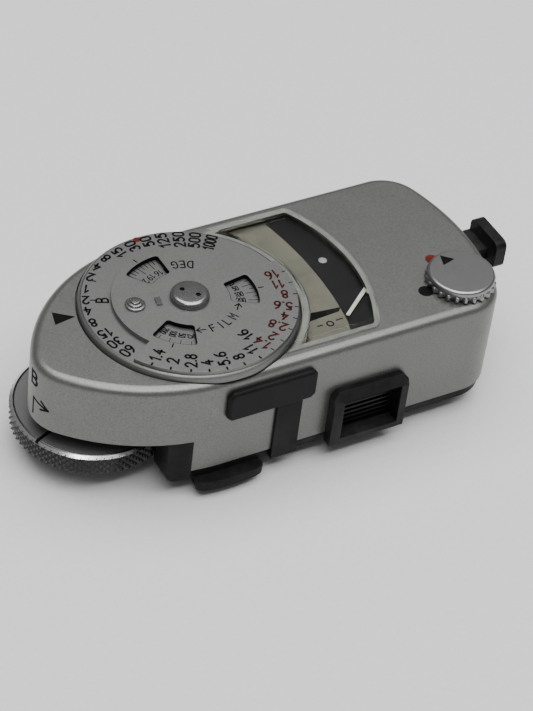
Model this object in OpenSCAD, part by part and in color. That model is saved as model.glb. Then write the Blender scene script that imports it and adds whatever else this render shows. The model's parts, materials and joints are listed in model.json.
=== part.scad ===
// Clip-on exposure meter with a shutter-coupled dial.
// Millimetres, +Z up. The origin is the centre of the accessory-shoe foot's bottom face.
// Body shapes are drawn from the dial axis, which lies foot_offset to the left of the origin.

/* [Body] */
// From the dial axis to the cover's right end
right_len = 52.7; // [52:0.1:53]
// Half the width of the cover
half_w = 18.3; // [18:0.1:19]
// Height of the cover's side walls
cover_h = 18.1; // [18:0.1:18.6]
// Cover wall thickness
wall = 1.2; // [1:0.1:1.4]
// Radius of the cover's top edge
edge_r = 1.6; // [1.4:0.1:1.8]
// Radius of the bowed right end
bow_r = 42.8; // [38:0.5:48]
// Radius of the right corners
corner_r = 7.2; // [5:0.1:8]
// Radius of the front flank that closes the left end
front_r = 33.7; // [33:0.1:34]
// Radius of the back flank
back_r = 30.2; // [29.5:0.1:31]
// Radius of the nose, which lies nearer the front
nose_r = 7.1; // [6.5:0.1:7.5]
// Left of this line the cover is cut short to clear the wheel
notch_x = -7.2; // [-8:0.1:-6]
// From the dial axis to the foot's centre
foot_offset = 18; // [17:0.5:19]

/* [Heights above the foot's bottom face] */
// Underside of the base
base_z = 3.6; // [3.5:0.1:4]
// Lower edge of the cover
cover_z = 5.4; // [5.2:0.1:5.6]
// Lower edge of the cover over the wheel
notch_z = 11.9; // [11.8:0.1:12]

/* [Dial] */
// Radius of the shutter disc
dial_r = 18; // [17:0.1:18]
// Height of the shutter disc above the cover
dial_rise = 1.05; // [0.8:0.05:1.2]
// Thickness of the aperture disc
aperture_t = 0.8; // [0.6:0.05:1]
// Inner radius of the aperture disc's cut-back edge
cutback_r = 12.6; // [12.3:0.1:13]

/* [Wheel] */
// Distance between the wheel axis and the dial axis
wheel_dist = 16.5; // [16.5:0.1:16.5]
// Outer radius of the wheel
wheel_r = 13.2; // [12.8:0.1:13.4]
// Wheel underside
wheel_z = 4.7; // [4.5:0.1:4.9]
// Wheel thickness
wheel_t = 3.9; // [3.6:0.1:4]

/* [Gears] */
// Gear module
gear_m = 0.6; // [0.6:0.1:0.6]
// Teeth on the wheel's pinion
pinion_n = 15; // [15:1:15]
// Teeth on the dial gear
dial_n = 40; // [40:1:40]

/* [Meter] */
// From the dial axis to the needle's pivot
pivot_x = 37.6; // [37.4:0.1:38]
// Needle length
needle_l = 17.9; // [17.5:0.1:18.2]
// Needle's rest angle below the centre line
needle_rest = 37.5; // [36:0.5:38]
// Outer radius of the window, about the dial axis
window_r = 30.9; // [30.4:0.1:31]
// Half the width of the window
window_half = 16; // [15.5:0.1:16.2]

/* [Knob and lever] */
// Knob axis, along the body
knob_x = 44.5; // [44:0.1:44.8]
// Knob axis, across the body
knob_y = -11.3; // [-11.6:0.1:-11]
// Radius over the knob's teeth
knob_r = 5.95; // [5.8:0.05:6.1]

/* [Hidden] */
$fn = 96;

eps = 0.01;
fit = 0.03;
cover_top = cover_z + cover_h;
top_t = 1;
cavity_top = cover_top - top_t;
disc_top = cover_top + dial_rise;
disc_bottom = cover_top - 0.7;
well_floor = cover_top - 0.9;
well_r = dial_r + 0.35;
well_wall_r = dial_r + 1.4;
wheel_gap = 0.55;
web_t = 1.5;
web_top = notch_z + web_t;
gear_z = web_top + 0.4;
gear_t = 1.6;
bridge_z = web_top + 2.6;
bridge_t = 1;
shaft_r = 2.5;
stud_r = 2;
clip_z = bridge_z + bridge_t + 0.2;
plate_top = 21.6;
needle_z = 22.1;
needle_t = 0.15;

// Places everything that is drawn from the dial axis
module placed() {
    translate([-foot_offset, 0, 0]) children();
}

module at_wheel() {
    placed() translate([-wheel_dist, 0, 0]) children();
}

module at_pivot() {
    placed() translate([pivot_x, 0, 0]) children();
}

// A ring or disc about the local Z axis
module ring(r_out, r_in, z, h) {
    translate([0, 0, z]) linear_extrude(h) difference() {
        circle(r_out);
        if (r_in > 0) circle(r_in);
    }
}

module block(low, high) {
    translate(low) cube(high - low);
}

// ---- Outline of the body: tangent arcs, drawn inwards by d ----
front = [-1.8, front_r - half_w];
back = [-0.1, half_w - back_r];
// The nose touches both flanks from inside
span = norm(front - back);
along = (pow(back_r - nose_r, 2) - pow(front_r - nose_r, 2) + pow(span, 2)) / (2 * span);
aside = sqrt(pow(back_r - nose_r, 2) - pow(along, 2));
toward = (front - back) / span;
nose = back + along * toward + aside * [-toward[1], toward[0]];
back_end = atan2(nose[1] - back[1], nose[0] - back[0]);
front_end = 360 + atan2(nose[1] - front[1], nose[0] - front[0]);
bow_x = right_len - bow_r;
corner_y = half_w - corner_r;
corner_x = bow_x + sqrt(pow(bow_r - corner_r, 2) - pow(corner_y, 2));
bow_end = atan2(corner_y, corner_x - bow_x);

function arc(cx, cy, r, from, to, n) =
    [for (i = [0:n]) let (a = from + (to - from) * i / n) [cx + r * cos(a), cy + r * sin(a)]];

function outline(d) = concat(
    arc(bow_x, 0, bow_r - d, -bow_end, bow_end, 8),
    arc(corner_x, corner_y, corner_r - d, bow_end + 8, 90, 8),
    arc(back[0], back[1], back_r - d, 90, back_end, 9),
    arc(nose[0], nose[1], nose_r - d, back_end + 6, front_end, 9),
    arc(front[0], front[1], front_r - d, front_end + 4, 270, 8),
    arc(corner_x, -corner_y, corner_r - d, 270, 352 - bow_end, 8));

module outline_prism(d, z, h) {
    translate([0, 0, z]) linear_extrude(h) polygon(outline(d));
}

function ring_at(d, z) = [for (p = outline(d)) [p[0], p[1], z]];

// A closed solid through rings with the same number of points, lowest first
module loft(rings) {
    n = len(rings[0]);
    last = len(rings) - 1;
    polyhedron(points = [for (ring = rings) each ring], faces = concat(
        [[for (i = [0:n - 1]) i]],
        [for (k = [0:last - 1], i = [0:n - 1]) let (a = k * n + i, b = k * n + (i + 1) % n)
            each [[a, a + n, b], [b, a + n, b + n]]],
        [[for (i = [n - 1:-1:0]) last * n + i]]));
}

// ---- Meter window outline: an arc about the dial axis between two straight edges ----
function window_points(r_out, r_in, half, corner) =
    let (a_out = asin((half - corner) / (r_out - corner)), a_in = asin(half / r_in))
    concat(
        arc(0, 0, r_out, -a_out, a_out, 24),
        arc((r_out - corner) * cos(a_out), (r_out - corner) * sin(a_out), corner, a_out + 10, 90, 5),
        [[r_in * cos(a_in), half]],
        arc(0, 0, r_in, a_in - 2, -a_in + 2, 24),
        [[r_in * cos(a_in), -half]],
        arc((r_out - corner) * cos(a_out), -(r_out - corner) * sin(a_out), corner, -90, -a_out - 10, 5));

module window_prism(r_out, r_in, half, corner, z, h) {
    translate([0, 0, z]) linear_extrude(h) polygon(window_points(r_out, r_in, half, corner));
}

// ---- Cover ----
boss_spots = [[3, -15.2], [3, 15.2], [47.8, 12.2], [35, -15.2]];
boss_r = 2.1;
screw_r = 0.8;
head_r = 1.5;
edge_steps = 4;
cell_low = [19.1, 4.9];
cell_high = [29.8, 12.7];
cell_wall = 0.7;
button_x = 27;
button_z = 14.5;
button_r = 2;
lever_y = [-1.6, 4.1];
lever_z = [16.9, 19.2];

module top_cover() color("silver") placed() difference() {
    union() {
        difference() {
            loft(concat([ring_at(0, cover_z)], [for (i = [0:edge_steps]) let (a = 90 * i / edge_steps)
                ring_at(edge_r * (1 - cos(a)), cover_top - edge_r * (1 - sin(a)))]));
            difference() {
                outline_prism(wall, cover_z - 1, cavity_top - cover_z + 1);
                ring(well_wall_r, 0, well_floor - 1.2, 5);
            }
        }
        for (p = boss_spots)
            translate([p[0], p[1], 0]) ring(boss_r, 0, 6.8, 15.8);
        // Ledges under the scale plate
        for (y = [-17.2, 15.2])
            block([20, y, plate_top - 1.4], [27, y + 2, plate_top - 0.6]);
    }
    // Recess for the dial and the seat of its bush
    ring(well_r, 0, well_floor, 3);
    ring(5.5, 0, well_floor - 2, 3);
    // Window opening
    window_prism(window_r - 1, well_wall_r + 0.1, window_half - 1, 1, cavity_top - 0.6, 3);
    // Room for the wheel
    block([-40, -30, 0], [notch_x, 30, notch_z]);
    // Photocell opening in the front wall
    block([cell_low[0] - cell_wall - 0.05, -half_w - 1, 0],
          [cell_high[0] + cell_wall + 0.05, -half_w + 2, cell_high[1] + cell_wall + 0.05]);
    // Lever slot in the right wall
    block([right_len - 4, lever_y[0] - 0.1, lever_z[0] - 0.1], [right_len + 1, lever_y[1] + 0.1, lever_z[1] + 0.1]);
    // Test button hole in the back wall
    translate([button_x, 0, button_z]) rotate([-90, 0, 0]) cylinder(r = button_r + 0.05, h = 30);
    // Knob shaft hole
    translate([knob_x, knob_y, cover_top - 4]) cylinder(r = 1.5 + fit, h = 6);
    // Screw threads in the bosses
    for (p = boss_spots)
        translate([p[0], p[1], 6]) cylinder(r = screw_r, h = 9);
}

// ---- Base: a black casting that also shields and roofs the wheel ----
shield_r = wheel_r + wheel_gap;
block_x = -11.3;
block_r = 1.6;
battery_r = 7.8;
battery_wall_r = 9.3;
battery_floor = 5.2;
cap_z = base_z + 0.1;
board_posts = [[16, 8], [24, 8]];

module base_plate() color([0.11, 0.11, 0.12]) placed() difference() {
    union() {
        outline_prism_right(0.5, base_z, cover_z - base_z);
        outline_prism_right(wall + 0.1, cover_z - eps, 1.2);
        // Block that fills the cover's notch beside the wheel, rounded below
        intersection() {
            outline_prism(0, base_z, notch_z - 0.1 - base_z);
            rotate([90, 0, 0]) translate([0, 0, -30]) linear_extrude(60)
                polygon(concat(arc(block_x + block_r, base_z + block_r, block_r, 180, 270, 6),
                               [[notch_x, base_z], [notch_x, 30], [block_x, 30]]));
        }
        intersection() {
            outline_prism(wall + 0.1, notch_z, web_t);
            block([-40, -30, 0], [2, 30, 30]);
        }
        intersection() {
            translate([-wheel_dist, 0, 0]) ring(shield_r + 1.4, shield_r, base_z, web_top - base_z - eps);
            block([notch_x, -17, 0], [5, 17, 30]);
        }
        translate([pivot_x, 0, 0]) ring(battery_wall_r, 0, base_z + 0.2, 7.2);
        for (p = board_posts)
            translate([p[0], p[1], 0]) ring(1.3, 0, 4.5, 3.4);
    }
    // Wheel recess
    translate([-wheel_dist, 0, 0]) ring(shield_r, 0, 0, notch_z);
    // Bearing for the pinion
    translate([-wheel_dist, 0, 0]) cylinder(r = 3.2, h = 30);
    // Clearance below the dial shaft
    ring(3.1, 0, notch_z - 1, 4);
    // Room inside the base, leaving a 1.6 mm floor and a rim
    difference() {
        outline_prism(wall + 1.1, base_z + 1.6, 3);
        translate([-wheel_dist, 0, 0]) ring(shield_r + 1.4, 0, 0, 30);
        block([-40, -30, 0], [notch_x, 30, 30]);
        translate([pivot_x, 0, 0]) ring(battery_wall_r, 0, 0, 30);
        for (p = boss_spots)
            translate([p[0], p[1], 0]) ring(boss_r + 0.4, 0, 0, 30);
        for (p = board_posts)
            translate([p[0], p[1], 0]) ring(1.3, 0, 0, 30);
    }
    // Battery chamber and the seat of its cover
    translate([pivot_x, 0, base_z - 1]) cylinder(r = battery_r + 0.2, h = 20);
    translate([pivot_x, 0, base_z - 1]) cylinder(r = 8.9, h = 2.2);
    // Photocell housing
    block([cell_low[0] - cell_wall - 0.05, -30, cell_low[1] - 0.65],
          [cell_high[0] + cell_wall + 0.05, -13.9, 30]);
    // Cover screws, with sunk heads
    for (p = boss_spots) {
        translate([p[0], p[1], 0]) cylinder(r = screw_r + 0.1, h = 20);
        translate([p[0], p[1], 0]) cylinder(r = head_r + 0.1, h = base_z + 0.9);
        translate([p[0], p[1], 0]) ring(boss_r + 0.1, 0, 6.7, 8);
    }
    // Foot screw holes
    for (p = foot_spots)
        translate([p[0] + foot_offset, p[1], 0]) cylinder(r = screw_r, h = base_z + 1.4);
    // Holes for the bridge pillars
    for (p = pillar_spots)
        translate([p[0], p[1], notch_z - 1]) cylinder(r = screw_r, h = 4);
}

// The part of the body's outline to the right of the wheel notch
module outline_prism_right(d, z, h) {
    intersection() {
        outline_prism(d, z, h);
        block([notch_x - eps, -30, 0], [60, 30, 30]);
    }
}

// ---- Shoe foot ----
foot_w = 18.6;
foot_t = 2;
neck_w = 12.4;
foot_l = 18;
foot_spots = [for (x = [-4, 4], y = [-6, 6]) [x, y]];

module shoe_foot() color([0.5, 0.5, 0.52]) difference() {
    union() {
        linear_extrude(foot_t) polygon(chamfered(foot_w, foot_l, 1.2));
        block([-neck_w / 2, -foot_l / 2, foot_t - eps], [neck_w / 2, foot_l / 2, base_z]);
    }
    for (p = foot_spots)
        translate([p[0], p[1], -1]) {
            cylinder(r = screw_r + 0.1, h = 9);
            cylinder(r = head_r + 0.1, h = 2);
        }
}

function chamfered(w, l, c) = [
    [-w / 2 + c, -l / 2], [w / 2 - c, -l / 2], [w / 2, -l / 2 + c], [w / 2, l / 2 - c],
    [w / 2 - c, l / 2], [-w / 2 + c, l / 2], [-w / 2, l / 2 - c], [-w / 2, -l / 2 + c]];

module screw(head_z, head_h, tip_z) {
    difference() {
        union() {
            ring(head_r, 0, head_z, head_h);
            ring(screw_r - 0.02, 0, head_z, tip_z - head_z);
        }
        block([-head_r, -0.2, head_z - eps], [head_r, 0.2, head_z + 0.35]);
    }
}

module foot_screws() color([0.55, 0.55, 0.57])
    for (p = foot_spots)
        translate([p[0], p[1], 0]) screw(0.15, 0.8, base_z + 1.3);

module cover_screws() color([0.55, 0.55, 0.57]) placed()
    for (p = boss_spots)
        translate([p[0], p[1], 0]) screw(base_z + 0.05, 0.8, 13);

// ---- Black trim on the front ----
pad = [[-2.3, 15.4], [13.7, 21.2]];
strap_x = [7, 11.7];

module front_plate() color([0.1, 0.1, 0.11]) placed() {
    pad_size = pad[1] - pad[0];
    translate([(pad[0][0] + pad[1][0]) / 2, -half_w, (pad[0][1] + pad[1][1]) / 2]) rotate([90, 0, 0]) hull() {
        linear_extrude(0.7) polygon(chamfered(pad_size[0], pad_size[1], 0.8));
        linear_extrude(1.1) polygon(chamfered(pad_size[0] - 0.8, pad_size[1] - 0.8, 0.6));
    }
    block([strap_x[0], -half_w - 0.5, base_z], [strap_x[1], -half_w, pad[0][1] + 1]);
    block([strap_x[0], -half_w - eps, base_z], [strap_x[1], -half_w + 0.5, cover_z - 0.02]);
}

lug_x = [-6.5, 5.6];

module thumb_lug() color([0.1, 0.1, 0.11]) placed()
    translate([(lug_x[0] + lug_x[1]) / 2, -16.6, base_z - 1.8]) linear_extrude(1.8)
        polygon(concat([[5.1, 3], [-5.1, 3]],
                       arc(-4.85, -1.9, 1.2, 180, 250, 6),
                       arc(0, 27, 30.6, 262, 278, 8),
                       arc(4.85, -1.9, 1.2, 290, 360, 6)));

// ---- Photocell group ----
cell_x = (cell_low[0] + cell_high[0]) / 2;
cell_z = (cell_low[1] + cell_high[1]) / 2;
frame_low = [17.1, 3.75];
frame_high = [31.2, 14.7];
hood_y = half_w + 1.9;
louvre_y = [-17.8, -16.4];
vane_count = 8;

module cell_frame() color([0.09, 0.09, 0.1]) placed() difference() {
    union() {
        translate([frame_low[0], 0, 0]) rotate([90, 0, 90]) linear_extrude(frame_high[0] - frame_low[0])
            polygon([[-half_w, frame_low[1]], [-hood_y, frame_low[1]], [-hood_y, frame_high[1] - 2.1],
                     [-half_w - 1.1, frame_high[1]], [-half_w, frame_high[1]]]);
        block([cell_low[0] - cell_wall, -half_w - eps, cell_low[1] - 0.6],
              [cell_high[0] + cell_wall, -14, cell_high[1] + cell_wall]);
    }
    block([cell_low[0], -30, cell_low[1]], [cell_high[0], -10, cell_high[1]]);
    // Clipped upper corners
    for (x = [frame_low[0], frame_high[0]])
        translate([x, -half_w - 3, frame_high[1]]) rotate([0, 45, 0]) cube([1.4, 6, 1.4], center = true);
}

module cell_louvre() color([0.07, 0.07, 0.08]) placed() {
    vane_pitch = (cell_high[1] - cell_low[1]) / vane_count;
    difference() {
        block([cell_low[0] + 0.05, louvre_y[0], cell_low[1] + 0.05],
              [cell_high[0] - 0.05, louvre_y[1], cell_high[1] - 0.05]);
        for (i = [0:vane_count - 1])
            translate([cell_x, louvre_y[0] - 1, cell_low[1] + vane_pitch * (i + 0.5)])
                cube([9.9, 9, vane_pitch * 0.55], center = true);
    }
}

module cell_glass() color([0.6, 0.7, 0.65, 0.5]) placed()
    block([cell_low[0] + 0.05, -16.35, cell_low[1] + 0.05], [cell_high[0] - 0.05, -15.75, cell_high[1] - 0.05]);

module photo_cell() color([0.75, 0.72, 0.55]) placed()
    translate([cell_x, -15.7, cell_z]) rotate([-90, 0, 0]) {
        cylinder(r = 3.5, h = 2.4);
        for (x = [-1.5, 1.5])
            translate([x, 0, 2.3]) cylinder(r = 0.3, h = 3);
    }

// ---- Window and scale ----
module meter_window() color([0.85, 0.87, 0.82, 0.35]) placed() {
    // A chamfered top on a flange, and a plug that fills the cover's opening
    window_prism(window_r, well_r + 0.25, window_half, 1.8, cover_top, 0.55);
    translate([0, 0, cover_top + 0.55 - eps]) window_prism(window_r - 0.35, well_r + 0.25, window_half - 0.35, 1.6, 0, 0.35);
    translate([0, 0, cover_top + 0.9 - 2 * eps]) window_prism(window_r - 0.75, well_r + 0.25, window_half - 0.75, 1.4, 0, 0.3);
    window_prism(window_r - 1.06, well_wall_r + 0.16, window_half - 1.06, 0.95, cavity_top + 0.1, 1);
}

module scale_plate() color([0.8, 0.78, 0.68]) placed()
    window_prism(window_r - 0.1, well_wall_r + 0.15, window_half - 0.5, 1, plate_top - 0.6, 0.6);

band_inner = 24.1;
band_bow_r = 66;

module reading_band() color([0.06, 0.06, 0.07]) placed() intersection() {
    difference() {
        ring(window_r - 0.7, 0, plate_top, 0.1);
        // Gently bowed inner edge
        translate([band_inner - band_bow_r, 0, plate_top - 1]) cylinder(r = band_bow_r, h = 3);
    }
    block([18, -15, 0], [40, 15, 30]);
}

// ---- Gear train ----
pillar_spots = [[-14, -10.5], [-14, 10.5], [-23.4, -1.6]];

module gear_bridge() color([0.78, 0.65, 0.35]) placed() difference() {
    translate([0, 0, bridge_z]) linear_extrude(bridge_t) {
        polygon([[-23.4, -3.8], [-14, -12.6], [-10, -11], [4, -4.5],
                 [4, 4.5], [-10, 11], [-14, 12.6], [-23.4, 0.6]]);
        for (p = pillar_spots)
            translate(p) circle(2.2);
        circle(5);
    }
    cylinder(r = shaft_r + fit, h = 40);
    translate([-wheel_dist, 0, 0]) cylinder(r = 2.6 + fit, h = 40);
    for (p = pillar_spots)
        translate([p[0], p[1], 0]) cylinder(r = screw_r, h = 40);
}

module bridge_pillars() color([0.78, 0.65, 0.35]) placed()
    for (p = pillar_spots)
        translate([p[0], p[1], 0]) ring(1.6, screw_r, web_top, bridge_z - web_top);

module bridge_screws() color([0.7, 0.7, 0.72]) placed()
    for (p = pillar_spots)
        translate([p[0], p[1], bridge_z + bridge_t + 0.8]) mirror([0, 0, 1]) screw(0, 0.8, 5);

// Half the angle of an involute tooth at radius r
function tooth_half(r, base_r, half_pitch) =
    let (phi = acos(min(1, base_r / r)))
    half_pitch + 0.854 - (tan(phi) * 180 / PI - phi);

function gear_points(n, m, addendum, backlash) =
    let (pitch_r = n * m / 2, base_r = pitch_r * cos(20), root_r = pitch_r - 1.25 * m,
         tip_r = pitch_r + addendum * m, low_r = max(base_r, root_r),
         half_pitch = 90 / n - backlash / pitch_r * 180 / PI)
    [for (i = [0:n - 1]) let (mid = 360 * i / n) each concat(
        [[root_r * cos(mid - tooth_half(low_r, base_r, half_pitch)),
          root_r * sin(mid - tooth_half(low_r, base_r, half_pitch))]],
        [for (k = [0:4]) let (r = low_r + (tip_r - low_r) * k / 4, a = mid - tooth_half(r, base_r, half_pitch))
            [r * cos(a), r * sin(a)]],
        [for (k = [4:-1:0]) let (r = low_r + (tip_r - low_r) * k / 4, a = mid + tooth_half(r, base_r, half_pitch))
            [r * cos(a), r * sin(a)]],
        [[root_r * cos(mid + tooth_half(low_r, base_r, half_pitch)),
          root_r * sin(mid + tooth_half(low_r, base_r, half_pitch))]])];

module pinion() color([0.8, 0.68, 0.38]) at_wheel() difference() {
    union() {
        ring(3.2 - fit, 0, notch_z, web_t + 0.2);
        translate([0, 0, web_top + 0.15]) linear_extrude(2.2)
            rotate(180 / pinion_n) polygon(gear_points(pinion_n, gear_m, 1, 0.06));
        ring(2.6, 0, web_top + 2.3, bridge_z + bridge_t - web_top - 2.2);
    }
    translate([0, 0, notch_z - 1]) linear_extrude(9) shaft_section(fit);
}

// The wheel shaft has two flats, so it turns the pinion but slides in it
module shaft_section(grow) {
    intersection() {
        circle(1.5 + grow);
        square([4, 2.2 + 2 * grow], center = true);
    }
}

module dial_gear() color([0.8, 0.68, 0.38]) placed() difference() {
    translate([0, 0, gear_z]) linear_extrude(gear_t) polygon(gear_points(dial_n, gear_m, 0.85, 0.06));
    cylinder(r = shaft_r, h = 40);
    for (a = [45:90:315])
        rotate(a) translate([7, 0, 0]) cylinder(r = 2, h = 40);
}

// ---- Wheel ----
module coupling_wheel() color([0.72, 0.72, 0.74]) at_wheel() difference() {
    rotate_extrude() polygon([
        [0, wheel_z + 1.4], [9.6, wheel_z + 1.4], [9.6, wheel_z], [wheel_r - 0.5, wheel_z], [wheel_r, wheel_z + 0.4],
        [wheel_r, wheel_z + wheel_t - 0.5], [wheel_r - 0.5, wheel_z + wheel_t],
        [8.8, wheel_z + wheel_t], [8.4, wheel_z + wheel_t - 0.5], [4.4, wheel_z + wheel_t - 0.5],
        [4.4, wheel_z + wheel_t - 1.4], [0, wheel_z + wheel_t - 1.4]]);
    cylinder(r = 1.5, h = 40);
    translate([6.8, 0, 0]) cylinder(r = 0.7, h = 40);
}

module wheel_shaft() color([0.6, 0.6, 0.62]) at_wheel() {
    ring(1.5, 0, wheel_z + 1.4, wheel_t - 1.4);
    translate([0, 0, wheel_z + wheel_t - eps]) linear_extrude(clip_z + 0.8 - wheel_z - wheel_t) shaft_section(0);
}

module shaft_clip() color([0.35, 0.35, 0.37]) at_wheel()
    difference() {
        ring(2.4, 0, clip_z, 0.4);
        translate([0, 0, clip_z - 1]) linear_extrude(3) shaft_section(0);
    }

module drive_pin() color([0.6, 0.6, 0.62]) at_wheel() translate([6.8, 0, 0]) {
    ring(0.9, 0, 2.6, wheel_z - 1.2);
    ring(0.7, 0, wheel_z + 1.4 - eps, 1.5);
}

spring_r = 3.1;

module wheel_spring() color([0.6, 0.6, 0.62]) at_wheel()
    for (i = [0:3])
        translate([0, 0, wheel_z + wheel_t - 1.05 + i * 1.35]) rotate_extrude()
            translate([spring_r, 0]) circle(0.3, $fn = 16);

// ---- Dial ----
module dial_bush() color([0.8, 0.68, 0.38]) placed()
    ring(5.5, shaft_r + fit, well_floor - 2, 2);

module dial_shaft() color([0.6, 0.6, 0.62]) placed() {
    ring(shaft_r, 0, gear_z - 0.6, well_floor + 0.03 - gear_z + 0.6);
    ring(4, 0, well_floor + 0.03 - eps, 0.8);
    ring(stud_r, 0, well_floor + 0.8, disc_top + 1.6 - well_floor - 0.8);
}

key_r = 5.2;
groove_half = 42;

module shutter_disc() color([0.55, 0.55, 0.55]) placed() difference() {
    rotate_extrude() polygon([
        [0, disc_bottom], [dial_r - 0.3, disc_bottom], [dial_r, disc_bottom + 0.3],
        [dial_r, disc_top - 0.2], [dial_r - 0.2, disc_top], [0, disc_top]]);
    cylinder(r = stud_r, h = 40);
    cylinder(r = 4.02, h = well_floor + 0.82);
    // Groove that stops the aperture disc's key
    rotate(170 - groove_half) rotate_extrude(angle = 2 * groove_half)
        translate([key_r - 0.6, disc_top - 0.7]) square([1.2, 2]);
}

module hub_cap() color([0.75, 0.75, 0.76]) placed() difference() {
    rotate_extrude() polygon([
        [0, disc_top], [2.6, disc_top], [2.6, disc_top + aperture_t + 0.06], [3.2, disc_top + aperture_t + 0.06],
        [3.2, disc_top + 1.55], [2.7, disc_top + 2.05], [0, disc_top + 2.05]]);
    translate([0, 0, disc_top - 1]) cylinder(r = stud_r, h = 2.6);
    // Spanner holes
    for (side = [-1, 1])
        rotate(-50) translate([side * 1.4, 0, disc_top + 1.7]) cylinder(r = 0.38, h = 2, $fn = 32);
}

sector_from = -147;
sector_to = 10;
window_mids = [110, -10, -130];

module aperture_disc() color([0.57, 0.57, 0.57]) placed() {
    z = disc_top + fit;
    difference() {
        union() {
            ring(cutback_r, 0, z, aperture_t);
            rotate(sector_from) translate([0, 0, z]) rotate_extrude(angle = sector_to - sector_from)
                translate([0, 0]) polygon([[0, 0], [dial_r - 0.15, 0], [dial_r - 0.1, 0.1],
                                           [dial_r - 0.1, aperture_t - 0.25], [dial_r - 0.35, aperture_t], [0, aperture_t]]);
        }
        translate([0, 0, disc_top - 1]) cylinder(r = 2.6 + fit, h = 4);
        for (mid = window_mids)
            rotate(mid - 19.2) translate([0, 0, disc_top - 1]) rotate_extrude(angle = 38.4)
                translate([6.6, 0]) square([4.7, 5]);
        rotate(170) translate([key_r, 0, disc_top - 1]) cylinder(r = 0.5, h = 5, $fn = 32);
        rotate(170) translate([9.1, 0, disc_top - 1]) cylinder(r = 0.9, h = 5, $fn = 32);
    }
}

module film_speed_stud() color([0.7, 0.7, 0.71]) placed() rotate(170) translate([9.1, 0, 0]) {
    top = disc_top + fit + aperture_t;
    ring(0.9, 0, disc_top + 0.06, aperture_t);
    ring(1.65, 0, top, 0.4);
    ring(1.25, 0, top + 0.4 - eps, 0.35);
    ring(0.85, 0, top + 0.75 - 2 * eps, 0.4);
}

module stop_key() color([0.62, 0.62, 0.63]) placed() rotate(170) translate([key_r, 0, 0]) {
    top = disc_top + fit + aperture_t;
    ring(0.5, 0, disc_top - 0.5, aperture_t + 0.55);
    block([-0.45, -0.9, top], [0.45, 0.9, top + 0.3]);
}

// ---- Range knob and switch ----
flange_t = 1.05;
flange_top = cover_top + 0.15 + flange_t;
cap_r = 5.65;

module at_knob() {
    placed() translate([knob_x, knob_y, 0]) children();
}

module range_knob() color([0.6, 0.6, 0.61]) at_knob() difference() {
    union() {
        ring(knob_r, 0, cover_top + 0.15, flange_t);
        rotate_extrude() polygon([
            [0, flange_top - eps], [cap_r, flange_top - eps], [cap_r, cover_top + 1.75],
            [cap_r - 0.2, cover_top + 2.05], [cap_r - 0.55, cover_top + 2.2], [0, cover_top + 2.2]]);
    }
    // Notches round the flange
    for (i = [0:23])
        rotate(i * 15) translate([knob_r + 0.05, 0, 0]) cylinder(r = 0.62, h = flange_top - eps, $fn = 24);
    translate([0, 0, cover_top]) cylinder(r = 1.5, h = 1.5);
}

module knob_shaft() color([0.6, 0.6, 0.62]) at_knob() {
    ring(1.5, 0, 14.6, cover_top + 1.5 - 14.6);
}

module switch_rotor() color([0.8, 0.68, 0.38]) at_knob() {
    ring(3.2, 1.5, 15.2, 0.8);
    rotate(100) block([3.1, -0.5, 15.2], [4.2, 0.5, 15.6]);
}

module switch_wafer() color([0.5, 0.36, 0.2]) at_knob() difference() {
    union() {
        ring(4.6, 0, 13.6, 0.8);
        block([-1.5, -5, 13.6], [1.5, 0, 14.4]);
        for (a = [100, 175])
            rotate(a) translate([3.6, 0, 0]) ring(0.5, 0, 14.3, 0.6, $fn = 24);
        // Posts standing on the base
        for (p = [[1.5, 3.4], [-1, -3.9]])
            translate([p[0], p[1], 0]) ring(0.7, 0, base_z + 1.6, 13.7 - base_z - 1.6, $fn = 24);
    }
    translate([0, 0, 10]) cylinder(r = 1.2, h = 9);
}

// ---- Measuring lever ----
plate_x = [56.8, 58.8];

function rounded(low, high, r) = concat(
    arc(high[0] - r, low[1] + r, r, -90, 0, 4), arc(high[0] - r, high[1] - r, r, 0, 90, 4),
    arc(low[0] + r, high[1] - r, r, 90, 180, 4), arc(low[0] + r, low[1] + r, r, 180, 270, 4));

module measuring_lever() color([0.1, 0.1, 0.11]) placed() {
    // Thumb plate
    translate([plate_x[0], 0, 0]) rotate([90, 0, 90]) linear_extrude(plate_x[1] - plate_x[0])
        polygon(rounded([-4.15, 16.3], [4.15, 21.8], 1.2));
    block([49.4, lever_y[0], lever_z[0]], [plate_x[0] + eps, lever_y[1], lever_z[1]]);
    block([48.6, -3, lever_z[0]], [49.4 + eps, 6.9, lever_z[1]]);
    translate([47.6, 5.7, 18]) rotate([0, 90, 0]) cylinder(r = 0.5, h = 1.2, $fn = 24);
}

module lever_spring() color([0.6, 0.6, 0.62]) placed()
    for (i = [0:3])
        translate([45.4 + i * 0.95, 5.7, 18]) rotate([0, 90, 0]) rotate_extrude()
            translate([0.95, 0]) circle(0.16, $fn = 16);

// ---- Moving-coil movement ----
frame_z = 12.2;
tube_top = base_z + 7.4;
core_z = [14.6, 18];
core_r = 5;
gap_r = 7.3;

module movement_frame() color([0.78, 0.65, 0.35]) at_pivot() {
    difference() {
        union() {
            ring(9, 0, frame_z, 0.9);
            // Feet on the battery chamber's wall
            for (a = [60:120:300])
                rotate(a) translate([8.6, 0, 0]) ring(0.6, 0, tube_top, frame_z - tube_top + eps, $fn = 32);
            // Pillar and arm of the upper bridge
            translate([0, 9.7, 0]) ring(1.4, 0, frame_z, 8.6);
            block([-1.4, 6, frame_z], [1.4, 9.7, frame_z + 0.9]);
            block([-1.4, -1.6, 20], [1.4, 9.7, 20.8]);
            // Anchor of the lever spring
            block([7, 3, frame_z], [7.6, 6.8, frame_z + 0.9]);
            block([7, 4.6, frame_z], [7.6, 6.8, 19]);
        }
        translate([0, 0, frame_z + 0.5]) cylinder(r = 0.35, h = 1, $fn = 24);
        translate([0, 0, 19]) cylinder(r = 1, h = 4);
    }
}

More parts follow.
